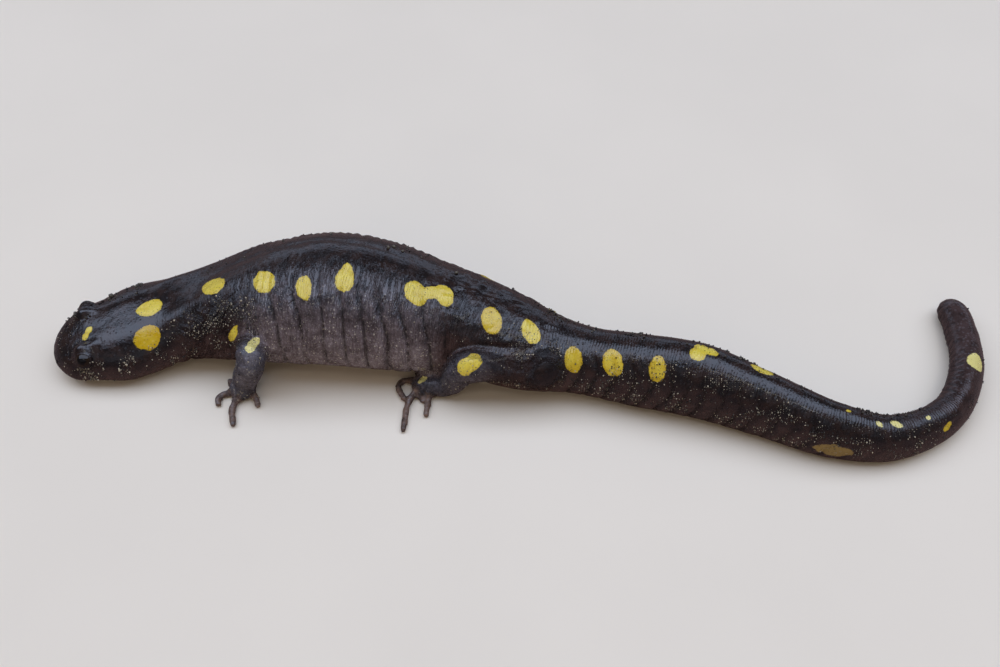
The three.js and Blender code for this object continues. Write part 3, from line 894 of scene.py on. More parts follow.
class TailRelief:
    """Muscle grooves down the tail, its keel, the vent's swelling and wrinkles inside the bend."""

    FIRST, LAST, STEP = 83.5, 132.0, 2.9  # the muscle grooves
    BEND = (150.0, 180.0)  # stretch whose inside is wrinkled
    BEND_STEP = 1.35
    VENT = 80.5

    @staticmethod
    def _wander(points: Array) -> Array:
        """Noise from -0.5 to 0.5 that keeps the grooves from being straight."""
        return lattice_noise(points, 3.2, 21) - 0.5

    def phase(self, points: Array, at: BodyPlace) -> Array:
        """Count of muscle grooves up to each point; it is whole in the middle of a groove."""
        lean = 0.035 * np.abs(at.degrees() - 75.0)
        return (at.t + lean + 1.1 * self._wander(points) - self.FIRST) / self.STEP

    def bend_folds(self, points: Array, at: BodyPlace) -> Array:
        """Folds across the inside of the bend near the tail's end, from -1 in one to 1 between two."""
        fold = np.sin((at.t + 2.2 * self._wander(points)) * FULL_TURN / self.BEND_STEP)
        inner = band(np.degrees(at.angle), -12.0, 120.0, 24.0) * (0.3 + lattice_noise(points, 2.6, 23))
        return fold * band(at.t, *self.BEND, 3.0) * inner

    def heights(self, points: Array, at: BodyPlace) -> Array:
        """How far the skin stands out along its normal, in mm, at each point of the tail."""
        angle = at.degrees()
        phase = self.phase(points, at)
        groove = hump(np.abs(phase - np.round(phase)) * self.STEP, 0.30)
        muscle = band(angle, 46.0, 138.0, 14.0) * band(at.t, self.FIRST + 1.5, self.LAST, 5.0)
        total = -(0.06 + 0.44 * smoothstep(185.0, 90.0, at.t)) * groove * muscle
        total += 0.2 * hump(angle - 168.0, 16.0) * hump(at.t - self.VENT, 3.2)
        total -= 0.22 * hump(np.abs(at.angle) - math.pi, 0.05) * hump(at.t - self.VENT, 2.6)
        total += 0.085 * self.bend_folds(points, at)
        total += 0.10 * (lattice_noise(points, 1.7, 22) - 0.5) * smoothstep(78.0, 84.0, at.t)
        crease = hump(at.up - 0.9 - 0.4 * self._wander(points), 0.34) * band(at.t, 126.0, 150.0, 4.0)
        return total - 0.16 * crease * (at.side < 0)


@dataclass(frozen=True)
class Fold:
    """A crease across a limb: its share of the limb's line, how deep and how wide it is in mm."""

    limb: str
    share: float
    deep: float
    wide: float


class LimbRelief:
    """Creases at the elbows, knees, wrists and ankles, and the swollen joints of the toes."""

    FOLDS = (
        Fold("fore", 0.34, 0.14, 0.4),
        Fold("fore", 0.70, 0.12, 0.3),
        Fold("fore", 0.62, 0.07, 0.3),
        Fold("hind", 0.36, 0.16, 0.45),
        Fold("hind", 0.69, 0.12, 0.3),
    )
    FORE_REACH, HIND_REACH = 0.86, 1.18  # distance of the root's fold from the limb's line
    JOINT_GAP = 2.1  # spacing of the joints along a toe
    KNOB = 0.022
    TENDON = 0.30
    GRAIN = 0.10

    def __init__(self, shapes: list[LimbShape]) -> None:
        """Keeps the limbs that the relief belongs to."""
        self.shapes = shapes

    def heights(self, points: Array, flesh: Array) -> Array:
        """How far the skin stands out along its normal, in mm.

        Args:
            points: Points of the skin (n, 3).
            flesh: 1 where the point lies on a limb and 0 on the body.

        Returns:
            Heights of the relief.
        """
        total = np.zeros(len(points))
        grain = lattice_noise(points, 1.1, 31) - 0.5
        for shape in self.shapes:
            near, share = shape.nearness(points)
            on = (near < LimbShape.OWN) * flesh
            total += self._root_fold(shape, points, near, share)
            for fold in self.FOLDS:
                if shape.limb.name.startswith(fold.limb):
                    gap = (share - fold.share) * shape.length + 0.8 * grain
                    total -= fold.deep * hump(gap, fold.wide) * on
            gap, along = shape.toe_place(points)
            toe = (gap < 1.1) * smoothstep(1.7, 2.3, along)
            total += self.KNOB * np.cos(along * FULL_TURN / self.JOINT_GAP) * toe
            total += self.TENDON * shape.tendons(points) * on
        return total + self.GRAIN * grain * flesh

    def _root_fold(self, shape: LimbShape, points: Array, near: Array, share: Array) -> Array:
        """A fold in the body's skin above the thigh or upper arm, which itself swells a little."""
        reach = self.FORE_REACH if shape.fore else self.HIND_REACH
        above = points[:, 2] - np.interp(share, shape.share, shape.line[:, 2])
        upper = smoothstep(-0.5, 1.2, above) * (1.0 - smoothstep(0.34, 0.42, share))
        if not shape.fore:
            upper = upper * smoothstep(0.02, 0.14, share)
        fold = -0.40 * hump(near - reach, 0.09) + 0.16 * hump(near - reach + 0.24, 0.15)
        return fold * upper


# ---------------------------------------------------------------- markings


class Tone(Enum):
    """Colour of a spot, as a share of the way from lemon to old gold; olive is past both, pale below."""

    PALE = -1.0
    LEMON = 0.0
    YELLOW = 0.35
    GOLD = 0.75
    OLIVE = 2.0


@dataclass(frozen=True)
class Spot:
    """A spot on the body.

    t and arc place it, from the snout and over the skin from the middle of the back, with the left
    side negative. long and tall are its half sizes, tilt turns long away from the body's line, and
    egg makes the end at +long wider than the other.
    """

    t: float
    arc: float
    long: float
    tall: float
    tilt: float = 0.0
    tone: Tone = Tone.YELLOW
    egg: float = 0.0


LEFT_SPOTS = (
    Spot(6.75, -0.3, 0.8, 0.62, 50, Tone.LEMON),
    Spot(6.2, -1.2, 0.78, 0.64, 60, Tone.LEMON),
    Spot(17.0, -0.6, 2.3, 1.5, -17, Tone.LEMON, 0.15),
    Spot(15.8, -5.35, 2.55, 1.9, -24, Tone.GOLD),
    Spot(28.5, -3.35, 2.55, 1.5, -42, Tone.LEMON),
    Spot(37.5, -7.4, 2.35, 1.6, -52, Tone.LEMON),
    Spot(44.3, -10.3, 2.15, 1.35, -72, Tone.LEMON, -0.15),
    Spot(51.05, -8.0, 2.6, 1.45, 92, Tone.LEMON, -0.42),
    Spot(61.9, -6.9, 1.95, 1.85, -75, Tone.LEMON),
    Spot(64.3, -5.6, 1.8, 1.05, 36, Tone.LEMON),
    Spot(66.3, -5.1, 1.85, 1.6, -60, Tone.LEMON),
    Spot(74.8, -5.3, 2.2, 1.62, -62, Tone.YELLOW),
    Spot(80.6, -4.05, 1.95, 1.42, -65, Tone.LEMON, 0.1),
    Spot(87.8, -5.3, 2.15, 1.5, -80, Tone.YELLOW),
    Spot(94.1, -4.6, 2.45, 1.55, -66, Tone.YELLOW),
    Spot(100.9, -4.6, 2.2, 1.3, -84, Tone.YELLOW),
    Spot(106.5, -0.9, 1.35, 1.3, 60, Tone.LEMON),
    Spot(106.9, 0.5, 1.15, 0.95, 10, Tone.LEMON),
    Spot(108.1, 0.35, 1.45, 0.85, -8, Tone.LEMON),
    Spot(116.3, 1.4, 1.95, 1.05, 0, Tone.LEMON),
    Spot(129.6, -7.7, 2.8, 1.35, 12, Tone.OLIVE),
    Spot(130.4, -0.1, 0.42, 0.3, 0, Tone.LEMON),
    Spot(135.1, -1.2, 0.66, 0.42, -30, Tone.PALE),
    Spot(138.0, -1.0, 1.05, 0.55, -25, Tone.PALE),
    Spot(143.7, -1.2, 0.55, 0.42, 0, Tone.PALE),
    Spot(146.3, -3.9, 0.95, 0.62, 37, Tone.YELLOW),
    Spot(159.9, -2.3, 1.7, 1.55, 10, Tone.PALE, -0.2),
    Spot(32.1, -13.5, 1.35, 0.75, 60, Tone.LEMON),
)
RIGHT_SPOTS = (
    Spot(21.6, 9.4, 1.9, 1.3, 20, Tone.YELLOW),
    Spot(28.2, 5.9, 1.8, 1.35, 10, Tone.LEMON),
    Spot(35.6, 8.6, 2.2, 1.7, 55, Tone.YELLOW),
    Spot(41.9, 10.8, 1.9, 1.5, 70, Tone.LEMON),
    Spot(47.8, 8.2, 2.4, 1.5, 84, Tone.YELLOW, 0.2),
    Spot(55.4, 10.0, 2.6, 1.6, 30, Tone.YELLOW),
    Spot(63.4, 7.9, 2.0, 1.6, 60, Tone.LEMON),
    Spot(70.6, 6.6, 2.3, 1.5, 64, Tone.YELLOW),
    Spot(76.6, 7.8, 1.3, 1.1, 0, Tone.GOLD),
    Spot(82.7, 5.0, 1.7, 1.3, 40, Tone.LEMON),
    Spot(90.3, 5.2, 2.1, 1.5, 78, Tone.YELLOW),
    Spot(97.6, 4.9, 2.3, 1.4, 70, Tone.YELLOW),
    Spot(104.4, 6.6, 1.6, 1.2, 80, Tone.GOLD),
    Spot(111.6, 5.1, 1.9, 1.3, 60, Tone.YELLOW),
    Spot(122.3, 4.2, 1.7, 1.2, 70, Tone.YELLOW),
    Spot(133.4, 4.9, 1.2, 0.9, 0, Tone.GOLD),
    Spot(141.2, 3.1, 0.8, 0.6, 0, Tone.YELLOW),
    Spot(152.5, 3.4, 1.0, 0.7, 20, Tone.GOLD),
)


@dataclass(frozen=True)
class LimbSpot:
    """A spot on a limb, as the part of the skin inside a small ellipsoid turned about the view down."""

    x: float
    y: float
    z: float
    long: float
    tall: float
    tilt: float
    tone: Tone = Tone.YELLOW


LIMB_SPOTS = (
    LimbSpot(-38.1, -11.9, 12.35, 0.78, 0.72, 60, Tone.PALE),
    LimbSpot(-38.5, -12.45, 12.2, 0.78, 0.76, 60, Tone.PALE),
    LimbSpot(-38.85, -13.05, 11.8, 0.82, 0.74, 60, Tone.PALE),
    LimbSpot(-5.2, -15.1, 10.0, 1.6, 1.3, 20, Tone.LEMON),
    LimbSpot(-4.1, -14.7, 10.6, 1.5, 1.25, 20, Tone.LEMON),
    LimbSpot(-12.6, -12.35, 3.1, 0.9, 0.62, 0, Tone.PALE),
    LimbSpot(-36.4, 12.4, 7.0, 1.1, 0.9, 20, Tone.YELLOW),
    LimbSpot(-3.0, 3.2, 7.5, 1.3, 1.1, 40, Tone.YELLOW),
)


@dataclass
class Marks:
    """Markings at each point of the skin: depth inside a spot in mm, negative outside, and its tone."""

    inside: Array
    tone: Array


class Markings:
    """The spots of the back, flanks, tail and limbs, as depths that a material cuts at zero."""

    OUTSIDE = -3.0  # depth where no spot is near
    BODY_FILL = 1.25  # skin further out than this in its section lies on a limb

    def at(self, points: Array, place: BodyPlace) -> Marks:
        """Markings at each point.

        Args:
            points: Points of the skin (n, 3).
            place: Where they lie on the body.

        Returns:
            Depth inside the nearest spot and that spot's tone.
        """
        inside = np.full(len(points), self.OUTSIDE)
        tone = np.zeros(len(points))
        on_body = place.fill < self.BODY_FILL
        for spot in LEFT_SPOTS + RIGHT_SPOTS:
            depth = np.where(on_body, self._body_depth(spot, place), self.OUTSIDE)
            inside, tone = self._nearer(inside, tone, depth, spot.tone)
        for limb_spot in LIMB_SPOTS:
            inside, tone = self._nearer(inside, tone, self._limb_depth(limb_spot, points), limb_spot.tone)
        return Marks(inside, tone)

    @staticmethod
    def _nearer(inside: Array, tone: Array, depth: Array, new: Tone) -> tuple[Array, Array]:
        """The deeper of two depths, and the tone that goes with it."""
        deeper = depth > inside
        return np.where(deeper, depth, inside), np.where(deeper, new.value, tone)

    @staticmethod
    def _body_depth(spot: Spot, place: BodyPlace) -> Array:
        """(1 - reach) * tall, where reach is 1 on the outline of a turned egg."""
        x, y = turned(place.t - spot.t, place.arc - spot.arc, -math.radians(spot.tilt))
        wide = spot.tall * np.clip(1.0 + spot.egg * x / spot.long, 0.3, 1.7)
        return (1.0 - np.hypot(x / spot.long, y / wide)) * spot.tall

    @staticmethod
    def _limb_depth(spot: LimbSpot, points: Array) -> Array:
        """(1 - reach) * tall, where reach is 1 on the ellipsoid."""
        gap = points - np.array([spot.x, spot.y, spot.z])
        x, y = turned(gap[:, 0], gap[:, 1], -math.radians(spot.tilt))
        reach = np.sqrt((x / spot.long) ** 2 + (y / spot.tall) ** 2 + (gap[:, 2] / spot.long) ** 2)
        return (1.0 - reach) * spot.tall


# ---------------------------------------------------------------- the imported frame


class PartFrame:
    """Sets the animal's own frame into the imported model's frame, from the place of the left eye."""

    def __init__(self, eyes: Eyes) -> None:
        """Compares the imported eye's middle with the same point in the animal's own frame."""
        low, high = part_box("eye_left")
        self.shift = np.array((low + high) / 2) / MM - eyes.middle(-1)
        LOG.info("own frame moved by %s mm", np.round(self.shift, 3).tolist())

    def to_frame(self, points: Array) -> Array:
        """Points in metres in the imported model's frame, none below the floor."""
        placed = (points + self.shift) * MM
        placed[:, 2] = np.maximum(placed[:, 2], 0.0)
        return placed


def put_attribute(mesh: bpy.types.Mesh, name: str, values: Array) -> None:
    """Stores one number, or one vector, for each point of a mesh."""
    kind = "FLOAT" if values.ndim == 1 else "FLOAT_VECTOR"
    field = "value" if values.ndim == 1 else "vector"
    mesh.attributes.new(name, kind, "POINT").data.foreach_set(field, values.astype(np.float32).ravel())


def make_piece(name: str, points: Array, faces: Faces, material: bpy.types.Material) -> bpy.types.Object:
    """A smooth piece at the origin, from points in metres.

    Args:
        name: Name of the piece.
        points: Points (n, 3).
        faces: Corner numbers of each face.
        material: Its finish.

    Returns:
        The new object, linked to the scene.
    """
    mesh = bpy.data.meshes.new(name)
    mesh.from_pydata(points.tolist(), [], faces)
    mesh.polygons.foreach_set("use_smooth", np.ones(len(mesh.polygons), bool))
    mesh.materials.append(material)
    piece = bpy.data.objects.new(name, mesh)
    bpy.context.scene.collection.objects.link(piece)
    return piece


# ---------------------------------------------------------------- skin


@dataclass
class Surface:
    """A mesh held as arrays: points in mm, edges as pairs of point numbers, and faces."""

    SHORTEST = 0.02  # edges are taken to be no shorter than this

    points: Array
    edges: Array
    faces: Faces

    def normals(self) -> Array:
        """Directions outwards at the points, from the faces round each."""
        mesh = bpy.data.meshes.new("normals")
        mesh.from_pydata(self.points.tolist(), [], self.faces)
        values = np.empty(len(self.points) * 3)
        mesh.vertex_normals.foreach_get("vector", values)
        bpy.data.meshes.remove(mesh)
        return values.reshape(-1, 3)

    def degree(self) -> Array:
        """Number of neighbours of each point, at least 1."""
        return np.maximum(np.bincount(self.edges.ravel(), minlength=len(self.points)), 1)

    def nearby(self, values: Array) -> Array:
        """Mean of a value over the neighbours of each point."""
        a, b = self.edges.T
        total = np.bincount(a, values[b], len(values)) + np.bincount(b, values[a], len(values))
        return total / self.degree()

    def relaxed(self, amount: float, weight: Array | float = 1.0) -> Array:
        """Points moved by amount * weight towards the mean of their neighbours."""
        mean = np.stack([self.nearby(values) for values in self.points.T], axis=1)
        share = np.broadcast_to(amount * weight, len(mean))
        return self.points + (mean - self.points) * share[:, None]

    def settle(self, rounds: int, amounts: tuple[float, ...], weight: Array | float = 1.0) -> None:
        """Relaxes the points by each amount in turn, for a number of rounds."""
        for _ in range(rounds):
            for amount in amounts:
                self.points = self.relaxed(amount, weight)

    def hollows(self, normals: Array) -> Array:
        """How sharply the surface curves inwards at each point, in 1/mm.

        It is 4 d / h^2, where d is how far the mean of the neighbours stands out along the normal
        and h is the mean length of the edges there. Each is averaged with its neighbours' mean.
        """
        out = ((self.relaxed(1.0) - self.points) * normals).sum(axis=1)
        a, b = self.edges.T
        length = np.linalg.norm(self.points[a] - self.points[b], axis=1)
        total = np.bincount(a, length, len(out)) + np.bincount(b, length, len(out))
        sharp = 4.0 * out / np.maximum(total / self.degree(), self.SHORTEST) ** 2
        return 0.5 * (sharp + self.nearby(sharp))


@dataclass(frozen=True)
class SkinSizes:
    """How fine the skin is, in mm and in counts."""

    rows: int = 420
    sides: int = 96
    voxel: float = 0.40
    fine_to: float = 17.0  # the head is made finer up to here
    hand_reach: float = 1.8  # and so is skin this near to a toe
    rounds: int = 10  # of taking out the remesh's steps
    joint_rounds: int = 20  # of blending the limbs' roots
    lid_rounds: int = 14  # of blending the lids
    first: float = 0.12  # distance of the first section from the body's very end


class Skin:
    """One skin over the body, limbs, toes and lids, without a seam."""

    HEAD_END = 16.0  # distance from the snout up to which the lids reach
    NECK_END = (20.0, 26.0)  # no limb begins before this

    def __init__(self, body: BodyLine, eyes: Eyes, limbs: list[LimbShape], frame_at: PartFrame) -> None:
        """Keeps the shapes that the skin goes over."""
        self.sizes = SkinSizes()
        self.body = body
        self.eyes = eyes
        self.limbs = limbs
        self.frame_at = frame_at
        self.points = np.empty((0, 3))
        self.outward = np.empty((0, 3))
        self.place: BodyPlace | None = None

    def build(self, material: bpy.types.Material) -> bpy.types.Object:
        """Makes the skin, gives it its relief and its markings, and dresses it."""
        surface = self._joined()
        surface = self._finer(surface)
        self._smooth(surface)
        self._shape(surface)
        self.points, self.outward = surface.points, surface.normals()
        self.place = self.body.place(surface.points)
        piece = make_piece("skin", self.frame_at.to_frame(surface.points), surface.faces, material)
        marks = SkinMarks(surface, self.outward, self.place, self.limbs)
        for name, values in marks.all().items():
            put_attribute(piece.data, name, values)
        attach(piece, "root")
        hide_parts(*[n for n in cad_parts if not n.startswith("eye")])
        corners = sum(len(f) - 2 for f in surface.faces)
        LOG.info("skin: %d points, %d triangles", len(surface.points), corners)
        return piece

    def _patches(self) -> list[Patch]:
        """Closed pieces of the body, limbs and eye sockets, which overlap."""
        rows, sides, first = self.sizes.rows, self.sizes.sides, self.sizes.first
        t = np.repeat(np.linspace(first, self.body.length - first, rows), sides)
        angle = np.tile(np.linspace(0.0, -FULL_TURN, sides, endpoint=False), rows)
        pieces = [tube_patch(self.body.surface(t, angle).reshape(rows, sides, 3))]
        for limb in self.limbs:
            pieces += limb.patches()
        lid = self.eyes.seat.lid_skin
        pieces += [ball_patch(self.eyes.middle(s, self.eyes.seat.lid_in), (lid, lid, lid)) for s in (-1, 1)]
        return pieces

    def _joined(self) -> Surface:
        """The pieces made one closed surface, by a voxel remesh."""
        patches = self._patches()
        starts = np.cumsum([0] + [len(patch.points) for patch in patches[:-1]])
        faces = []
        for patch, start in zip(patches, starts.tolist()):
            faces += [tuple(i + start for i in face) for face in patch.faces]
        points = np.concatenate([patch.points for patch in patches])
        closed = self._edited(
            points, faces, lambda form: bmesh.ops.recalc_face_normals(form, faces=form.faces)
        )
        rough = bpy.data.objects.new("joined", closed)
        bpy.context.scene.collection.objects.link(rough)
        remesh = rough.modifiers.new("remesh", "REMESH")
        remesh.mode = "VOXEL"
        remesh.voxel_size = self.sizes.voxel
        graph = bpy.context.evaluated_depsgraph_get()
        made = bpy.data.meshes.new_from_object(rough.evaluated_get(graph))
        bpy.data.objects.remove(rough)
        bpy.data.meshes.remove(closed)
        return self._read(made)

    @staticmethod
    def _edited(points: Array, faces: Faces, edit: Callable[[bmesh.types.BMesh], object]) -> bpy.types.Mesh:
        """A mesh from points and faces, changed by a function while it is open."""
        mesh = bpy.data.meshes.new("edited")
        mesh.from_pydata(points.tolist(), [], faces)
        form = bmesh.new()
        form.from_mesh(mesh)
        edit(form)
        form.to_mesh(mesh)
        form.free()
        return mesh

    @staticmethod
    def _read(mesh: bpy.types.Mesh) -> Surface:
        """A mesh's arrays; the mesh itself is removed."""
        points = np.empty(len(mesh.vertices) * 3)
        mesh.vertices.foreach_get("co", points)
        edges = np.empty(len(mesh.edges) * 2, np.int32)
        mesh.edges.foreach_get("vertices", edges)
        faces = [tuple(p.vertices) for p in mesh.polygons]
        bpy.data.meshes.remove(mesh)
        return Surface(points.reshape(-1, 3), edges.reshape(-1, 2), faces)

    def _limb_near(self, points: Array) -> Array:
        """Distance to the nearest limb's line against its radius."""
        return np.min([limb.nearness(points)[0] for limb in self.limbs], axis=0)

    def _finer(self, surface: Surface) -> Surface:
        """The surface with the faces of the head and the hands cut in four."""
        place = self.body.place(surface.points)
        toe_gap = np.min([limb.toe_place(surface.points)[0] for limb in self.limbs], axis=0)
        pick = (place.t < self.sizes.fine_to) | (toe_gap < self.sizes.hand_reach)

        def cut(form: bmesh.types.BMesh) -> None:
            """Cuts the edges between picked points in two, and the faces there with them."""
            form.verts.ensure_lookup_table()
            edges = [e for e in form.edges if pick[e.verts[0].index] and pick[e.verts[1].index]]
            bmesh.ops.subdivide_edges(form, edges=edges, cuts=1, use_grid_fill=True)

        return self._read(self._edited(surface.points, surface.faces, cut))

    def _smooth(self, surface: Surface) -> None:
        """Takes the steps out of the remesh without shrinking it, and blends the limbs into the body."""
        surface.settle(self.sizes.rounds, (0.55, -0.57))
        place = self.body.place(surface.points)
        near = self._limb_near(surface.points)
        blend = hump(place.fill - 1.1, 0.16) * (1.0 - smoothstep(1.3, 1.9, near))
        surface.settle(self.sizes.joint_rounds, (0.5,), blend)
        place = self.body.place(surface.points)
        exact = self.body.in_section(place.t, place.side / place.fill, place.up / place.fill)
        gaps = [np.linalg.norm(surface.points - self.eyes.middle(sign), axis=1) for sign in (-1, 1)]
        eye = np.min(gaps, axis=0)
        surface.settle(self.sizes.lid_rounds, (0.5,), smoothstep(3.6, 2.4, eye))
        hold = smoothstep(1.25, 1.8, near) * smoothstep(1.5, 3.0, place.t)
        hold *= smoothstep(self.body.length - 1.0, self.body.length - 3.0, place.t)
        hold *= smoothstep(2.6, 3.6, eye) * (np.abs(place.fill - 1.0) < 0.12)
        surface.points += (exact - surface.points) * hold[:, None]
        surface.settle(1, (0.4, -0.42))

    def _shape(self, surface: Surface) -> None:
        """Adds lids, grooves, folds and wrinkles."""
        points, outward = surface.points, surface.normals()
        place = self.body.place(points)
        head = HeadRelief(self.body, self.eyes)
        flesh = smoothstep(1.05, 1.15, place.fill) * smoothstep(*self.NECK_END, place.t)
        total = TrunkRelief().heights(points, place) + TailRelief().heights(points, place)
        total = total * (1.0 - flesh) + LimbRelief(self.limbs).heights(points, flesh)
        total += head.heights(points, place) * (1.0 - smoothstep(17.5, 20.5, place.t))
        on_head = place.t < self.HEAD_END
        surface.points = points + outward * total[:, None]
        surface.points = np.where(on_head[:, None], head.lids(surface.points), surface.points)
        surface.settle(1, (0.25,), on_head * 1.0)
        surface.points[:, 2] = np.maximum(surface.points[:, 2], 0.0)


class SkinMarks:
    """What the finish of the skin needs to know at each point, from 0 to 1 unless it says otherwise."""

    RIBS = (34.0, 66.0, 4.0)  # stretch of the body with pale flanks, partly painted sheen
    TAIL = (85.0, 134.0, 4.0)  # stretch of the tail with muscle grooves
    SHOULDER = (21.5, 33.0, 2.5)
    TAIL_END = (146.0, 162.0)

    def __init__(self, surface: Surface, outward: Array, place: BodyPlace, limbs: list[LimbShape]) -> None:
        """Keeps the finished skin; flesh is 1 on a limb and 0 on the body."""
        self.surface = surface
        self.outward = outward
        self.place = place
        self.limbs = limbs
        self.flesh = smoothstep(1.06, 1.2, place.fill) * smoothstep(*Skin.NECK_END, place.t)
        self.body = 1.0 - self.flesh

    def all(self) -> dict[str, Array]:
        """Every mark by its name; spot is a depth in mm and lie a place in mm along and around."""
        place, points = self.place, self.surface.points
        spots = Markings().at(points, place)
        # underside colour, partly a painted warm reflection from below, with painted shade in the tail's
        # grooves
        low = self._underside_with_painted_light()
        # paler flanks, partly their own colour and partly painted sheen
        side = np.maximum(low, 0.45 * smoothstep(28.0, 56.0, place.degrees())) * band(place.t, *self.RIBS)
        toe, lie_along, sleeve = self._limb_marks()
        digit = toe * (points[:, 2] < 3.0) * self.flesh
        ringed = band(place.t, 78.0, 150.0, 5.0) * smoothstep(66.0, 34.0, place.degrees()) * self.body
        shoulder = band(place.t, *self.SHOULDER) * band(place.around(), 8.0, 17.5, 2.0) * self.body
        bare = 1.0 - 0.75 * smoothstep(-0.3, 0.2, spots.inside)
        crease = np.maximum(self._crease(), 2.2 * shoulder) * bare
        lie_along += 0.9 * (place.around() - 12.0) * shoulder
        return {
            "spot": spots.inside,
            "tone": spots.tone,
            "low": low,
            "flank": np.maximum(side, 0.10 * low) * self.body,
            # where painted shade darkens the skin; the same mask also dulls it
            "hollow": self._hollow_shade(),
            "sleeve": sleeve,
            "digit": digit,
            "rings": np.maximum(digit, 0.9 * ringed),
            "crease": np.maximum(crease, 0.5 * self.flesh),
            "lie": np.stack([lie_along, place.arc * self.body, self.flesh], axis=1),
        }

    def _underside_with_painted_light(self) -> Array:
        """The browner underside, partly its own colour and partly a painted warm reflection from below,
        which also falls on the limbs' downward faces; painted shade darkens it in the tail's muscle
        grooves.
        """
        place = self.place
        under = smoothstep(52.0, 104.0, place.degrees()) * (1.0 - 0.25 * smoothstep(80.0, 110.0, place.t))
        # painted shade: darker in the tail's muscle grooves, lighter on the swells between them
        swell = 0.5 - 0.5 * np.cos(FULL_TURN * TailRelief().phase(self.surface.points, place))
        under *= 1.0 - 0.6 * (1.0 - swell) * band(place.t, *self.TAIL)
        under = np.maximum(under, 0.62 * smoothstep(138.0, 160.0, place.t))
        # painted warm reflection on the limbs' downward faces
        return under * self.body + 0.5 * self.flesh * smoothstep(0.5, -0.5, self.outward[:, 2])

    def _crease(self) -> Array:
        """Fine wrinkles across the upper flanks, in patches."""
        place = self.place
        stretch = band(place.t, 22.0, 84.0, 6.0) + 0.5 * band(place.t, 90.0, 146.0, 6.0)
        crease = band(place.degrees(), 22.0, 118.0, 12.0) * stretch * self.body
        crease *= 1.0 + 0.9 * band(place.t, 33.0, 63.0, 3.0) * band(place.around(), 3.5, 13.0, 2.0)
        return crease * (0.45 + 1.3 * lattice_noise(self.surface.points, 2.6, 51))

    def _hollow_shade(self) -> Array:
        """Painted shade in crevices: where the skin curves inwards, and in the folds inside the tail's
        bend.
        """
        hollow = smoothstep(0.9, 4.2, self.surface.hollows(self.outward)) * (1.0 - 0.6 * self.flesh)
        bent = TailRelief().bend_folds(self.surface.points, self.place)
        return np.maximum(hollow, 0.65 * smoothstep(-0.15, -0.7, bent) * self.body)

    def _limb_marks(self) -> tuple[Array, Array, Array]:
        """The toes, the length along the body, limb or toe in mm, and the painted bluish sheen that makes
        the limbs paler.
        """
        points, flesh = self.surface.points, self.flesh
        gap, along = np.full(len(points), np.inf), np.zeros(len(points))
        length = np.zeros(len(points))
        sleeve = 0.06 * smoothstep(*self.TAIL_END, self.place.t)
        for limb in self.limbs:
            toe_gap, toe_along = limb.toe_place(points)
            gap, along = np.where(toe_gap < gap, [toe_gap, toe_along], [gap, along])
            near, share = limb.nearness(points)
            own = near < LimbShape.OWN
            length = np.where(own, share * limb.length, length)
            # strength of the limbs' painted sheen
            pale = 0.75 if limb.fore else 0.45
            sleeve = np.where(own, pale * smoothstep(0.12, 0.34, share) * flesh, sleeve)
        toe = smoothstep(1.5, 0.9, gap) * smoothstep(0.6, 2.2, along)
        return toe, self.place.t * self.body + (length * (1.0 - toe) + along * toe) * flesh, sleeve


# ---------------------------------------------------------------- eyeballs


class Eyeball:
    """One eyeball: a globe with a clear dome in front, dark with a thin ring of iris."""

    ROWS = 40
    SIDES = 56
    DOME = 0.06  # how far the dome stands out, against the radius
    DOME_TURN = 0.75  # half width of the dome, as a turn round the ball
    SUNK = 0.3  # share of the dome's height by which the whole globe is made smaller
    POLE = 0.02  # turn of the first ring

    def __init__(self, node: str, sign: int, eyes: Eyes) -> None:
        """Takes the ball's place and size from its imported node."""
        low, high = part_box(node)
        self.node = node
        self.middle = np.array((low + high) / 2)
        self.radius = float(max(high - low)) / 2
        self.axes = eyes.axes(sign)

    def build(self, material: bpy.types.Material) -> bpy.types.Object:
        """Makes the ball: radius * (1 + dome * (1 - (turn / dome_turn)^2)^2) within the dome."""
        turn = np.linspace(self.POLE, math.pi - self.POLE, self.ROWS)
        round_turn = np.linspace(0.0, -FULL_TURN, self.SIDES, endpoint=False)
        rise = self.DOME * np.clip(1.0 - (turn / self.DOME_TURN) ** 2, 0.0, 1.0) ** 2
        size = (self.radius * (1.0 - self.DOME * self.SUNK) * (1.0 + rise))[:, None, None]
        look, slit, across = self.axes
        ring = slit * np.cos(round_turn)[:, None] + across * np.sin(round_turn)[:, None]
        rings = look * np.cos(turn)[:, None, None] + ring[None] * np.sin(turn)[:, None, None]
        patch = tube_patch(rings * size + self.middle)
        piece = make_piece(self.node + "_ball", patch.points, patch.faces, material)
        off = np.concatenate([np.repeat(turn, self.SIDES), [0.0, math.pi]])
        put_attribute(piece.data, "off_axis", off)
        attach(piece, "root")
        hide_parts(self.node)
        LOG.info("%s: radius %.2f mm", piece.name, self.radius / MM)
        return piece


# ---------------------------------------------------------------- soil on the skin


@dataclass(frozen=True)
class Scatter:
    """A scatter of crumbs: how many, their radii in mm, where along and round the body, and shade.

    clumps is the share gathered in clumps, and sink how far a crumb's middle stands out of the
    skin, against its radius. With a limb named, along is the share of that limb's line and degrees
    aren't used.
    """

    count: int
    radii: tuple[float, float]
    along: tuple[float, float]
    degrees: tuple[float, float]
    shade: tuple[float, float]
    clumps: float = 0.5
    sink: float = 0.35
    limb: str = ""


@dataclass(frozen=True)
class Crumb:
    """One larger crumb, placed by distance from the snout and turn from the middle of the back."""

    t: float
    degrees: float
    radius: float


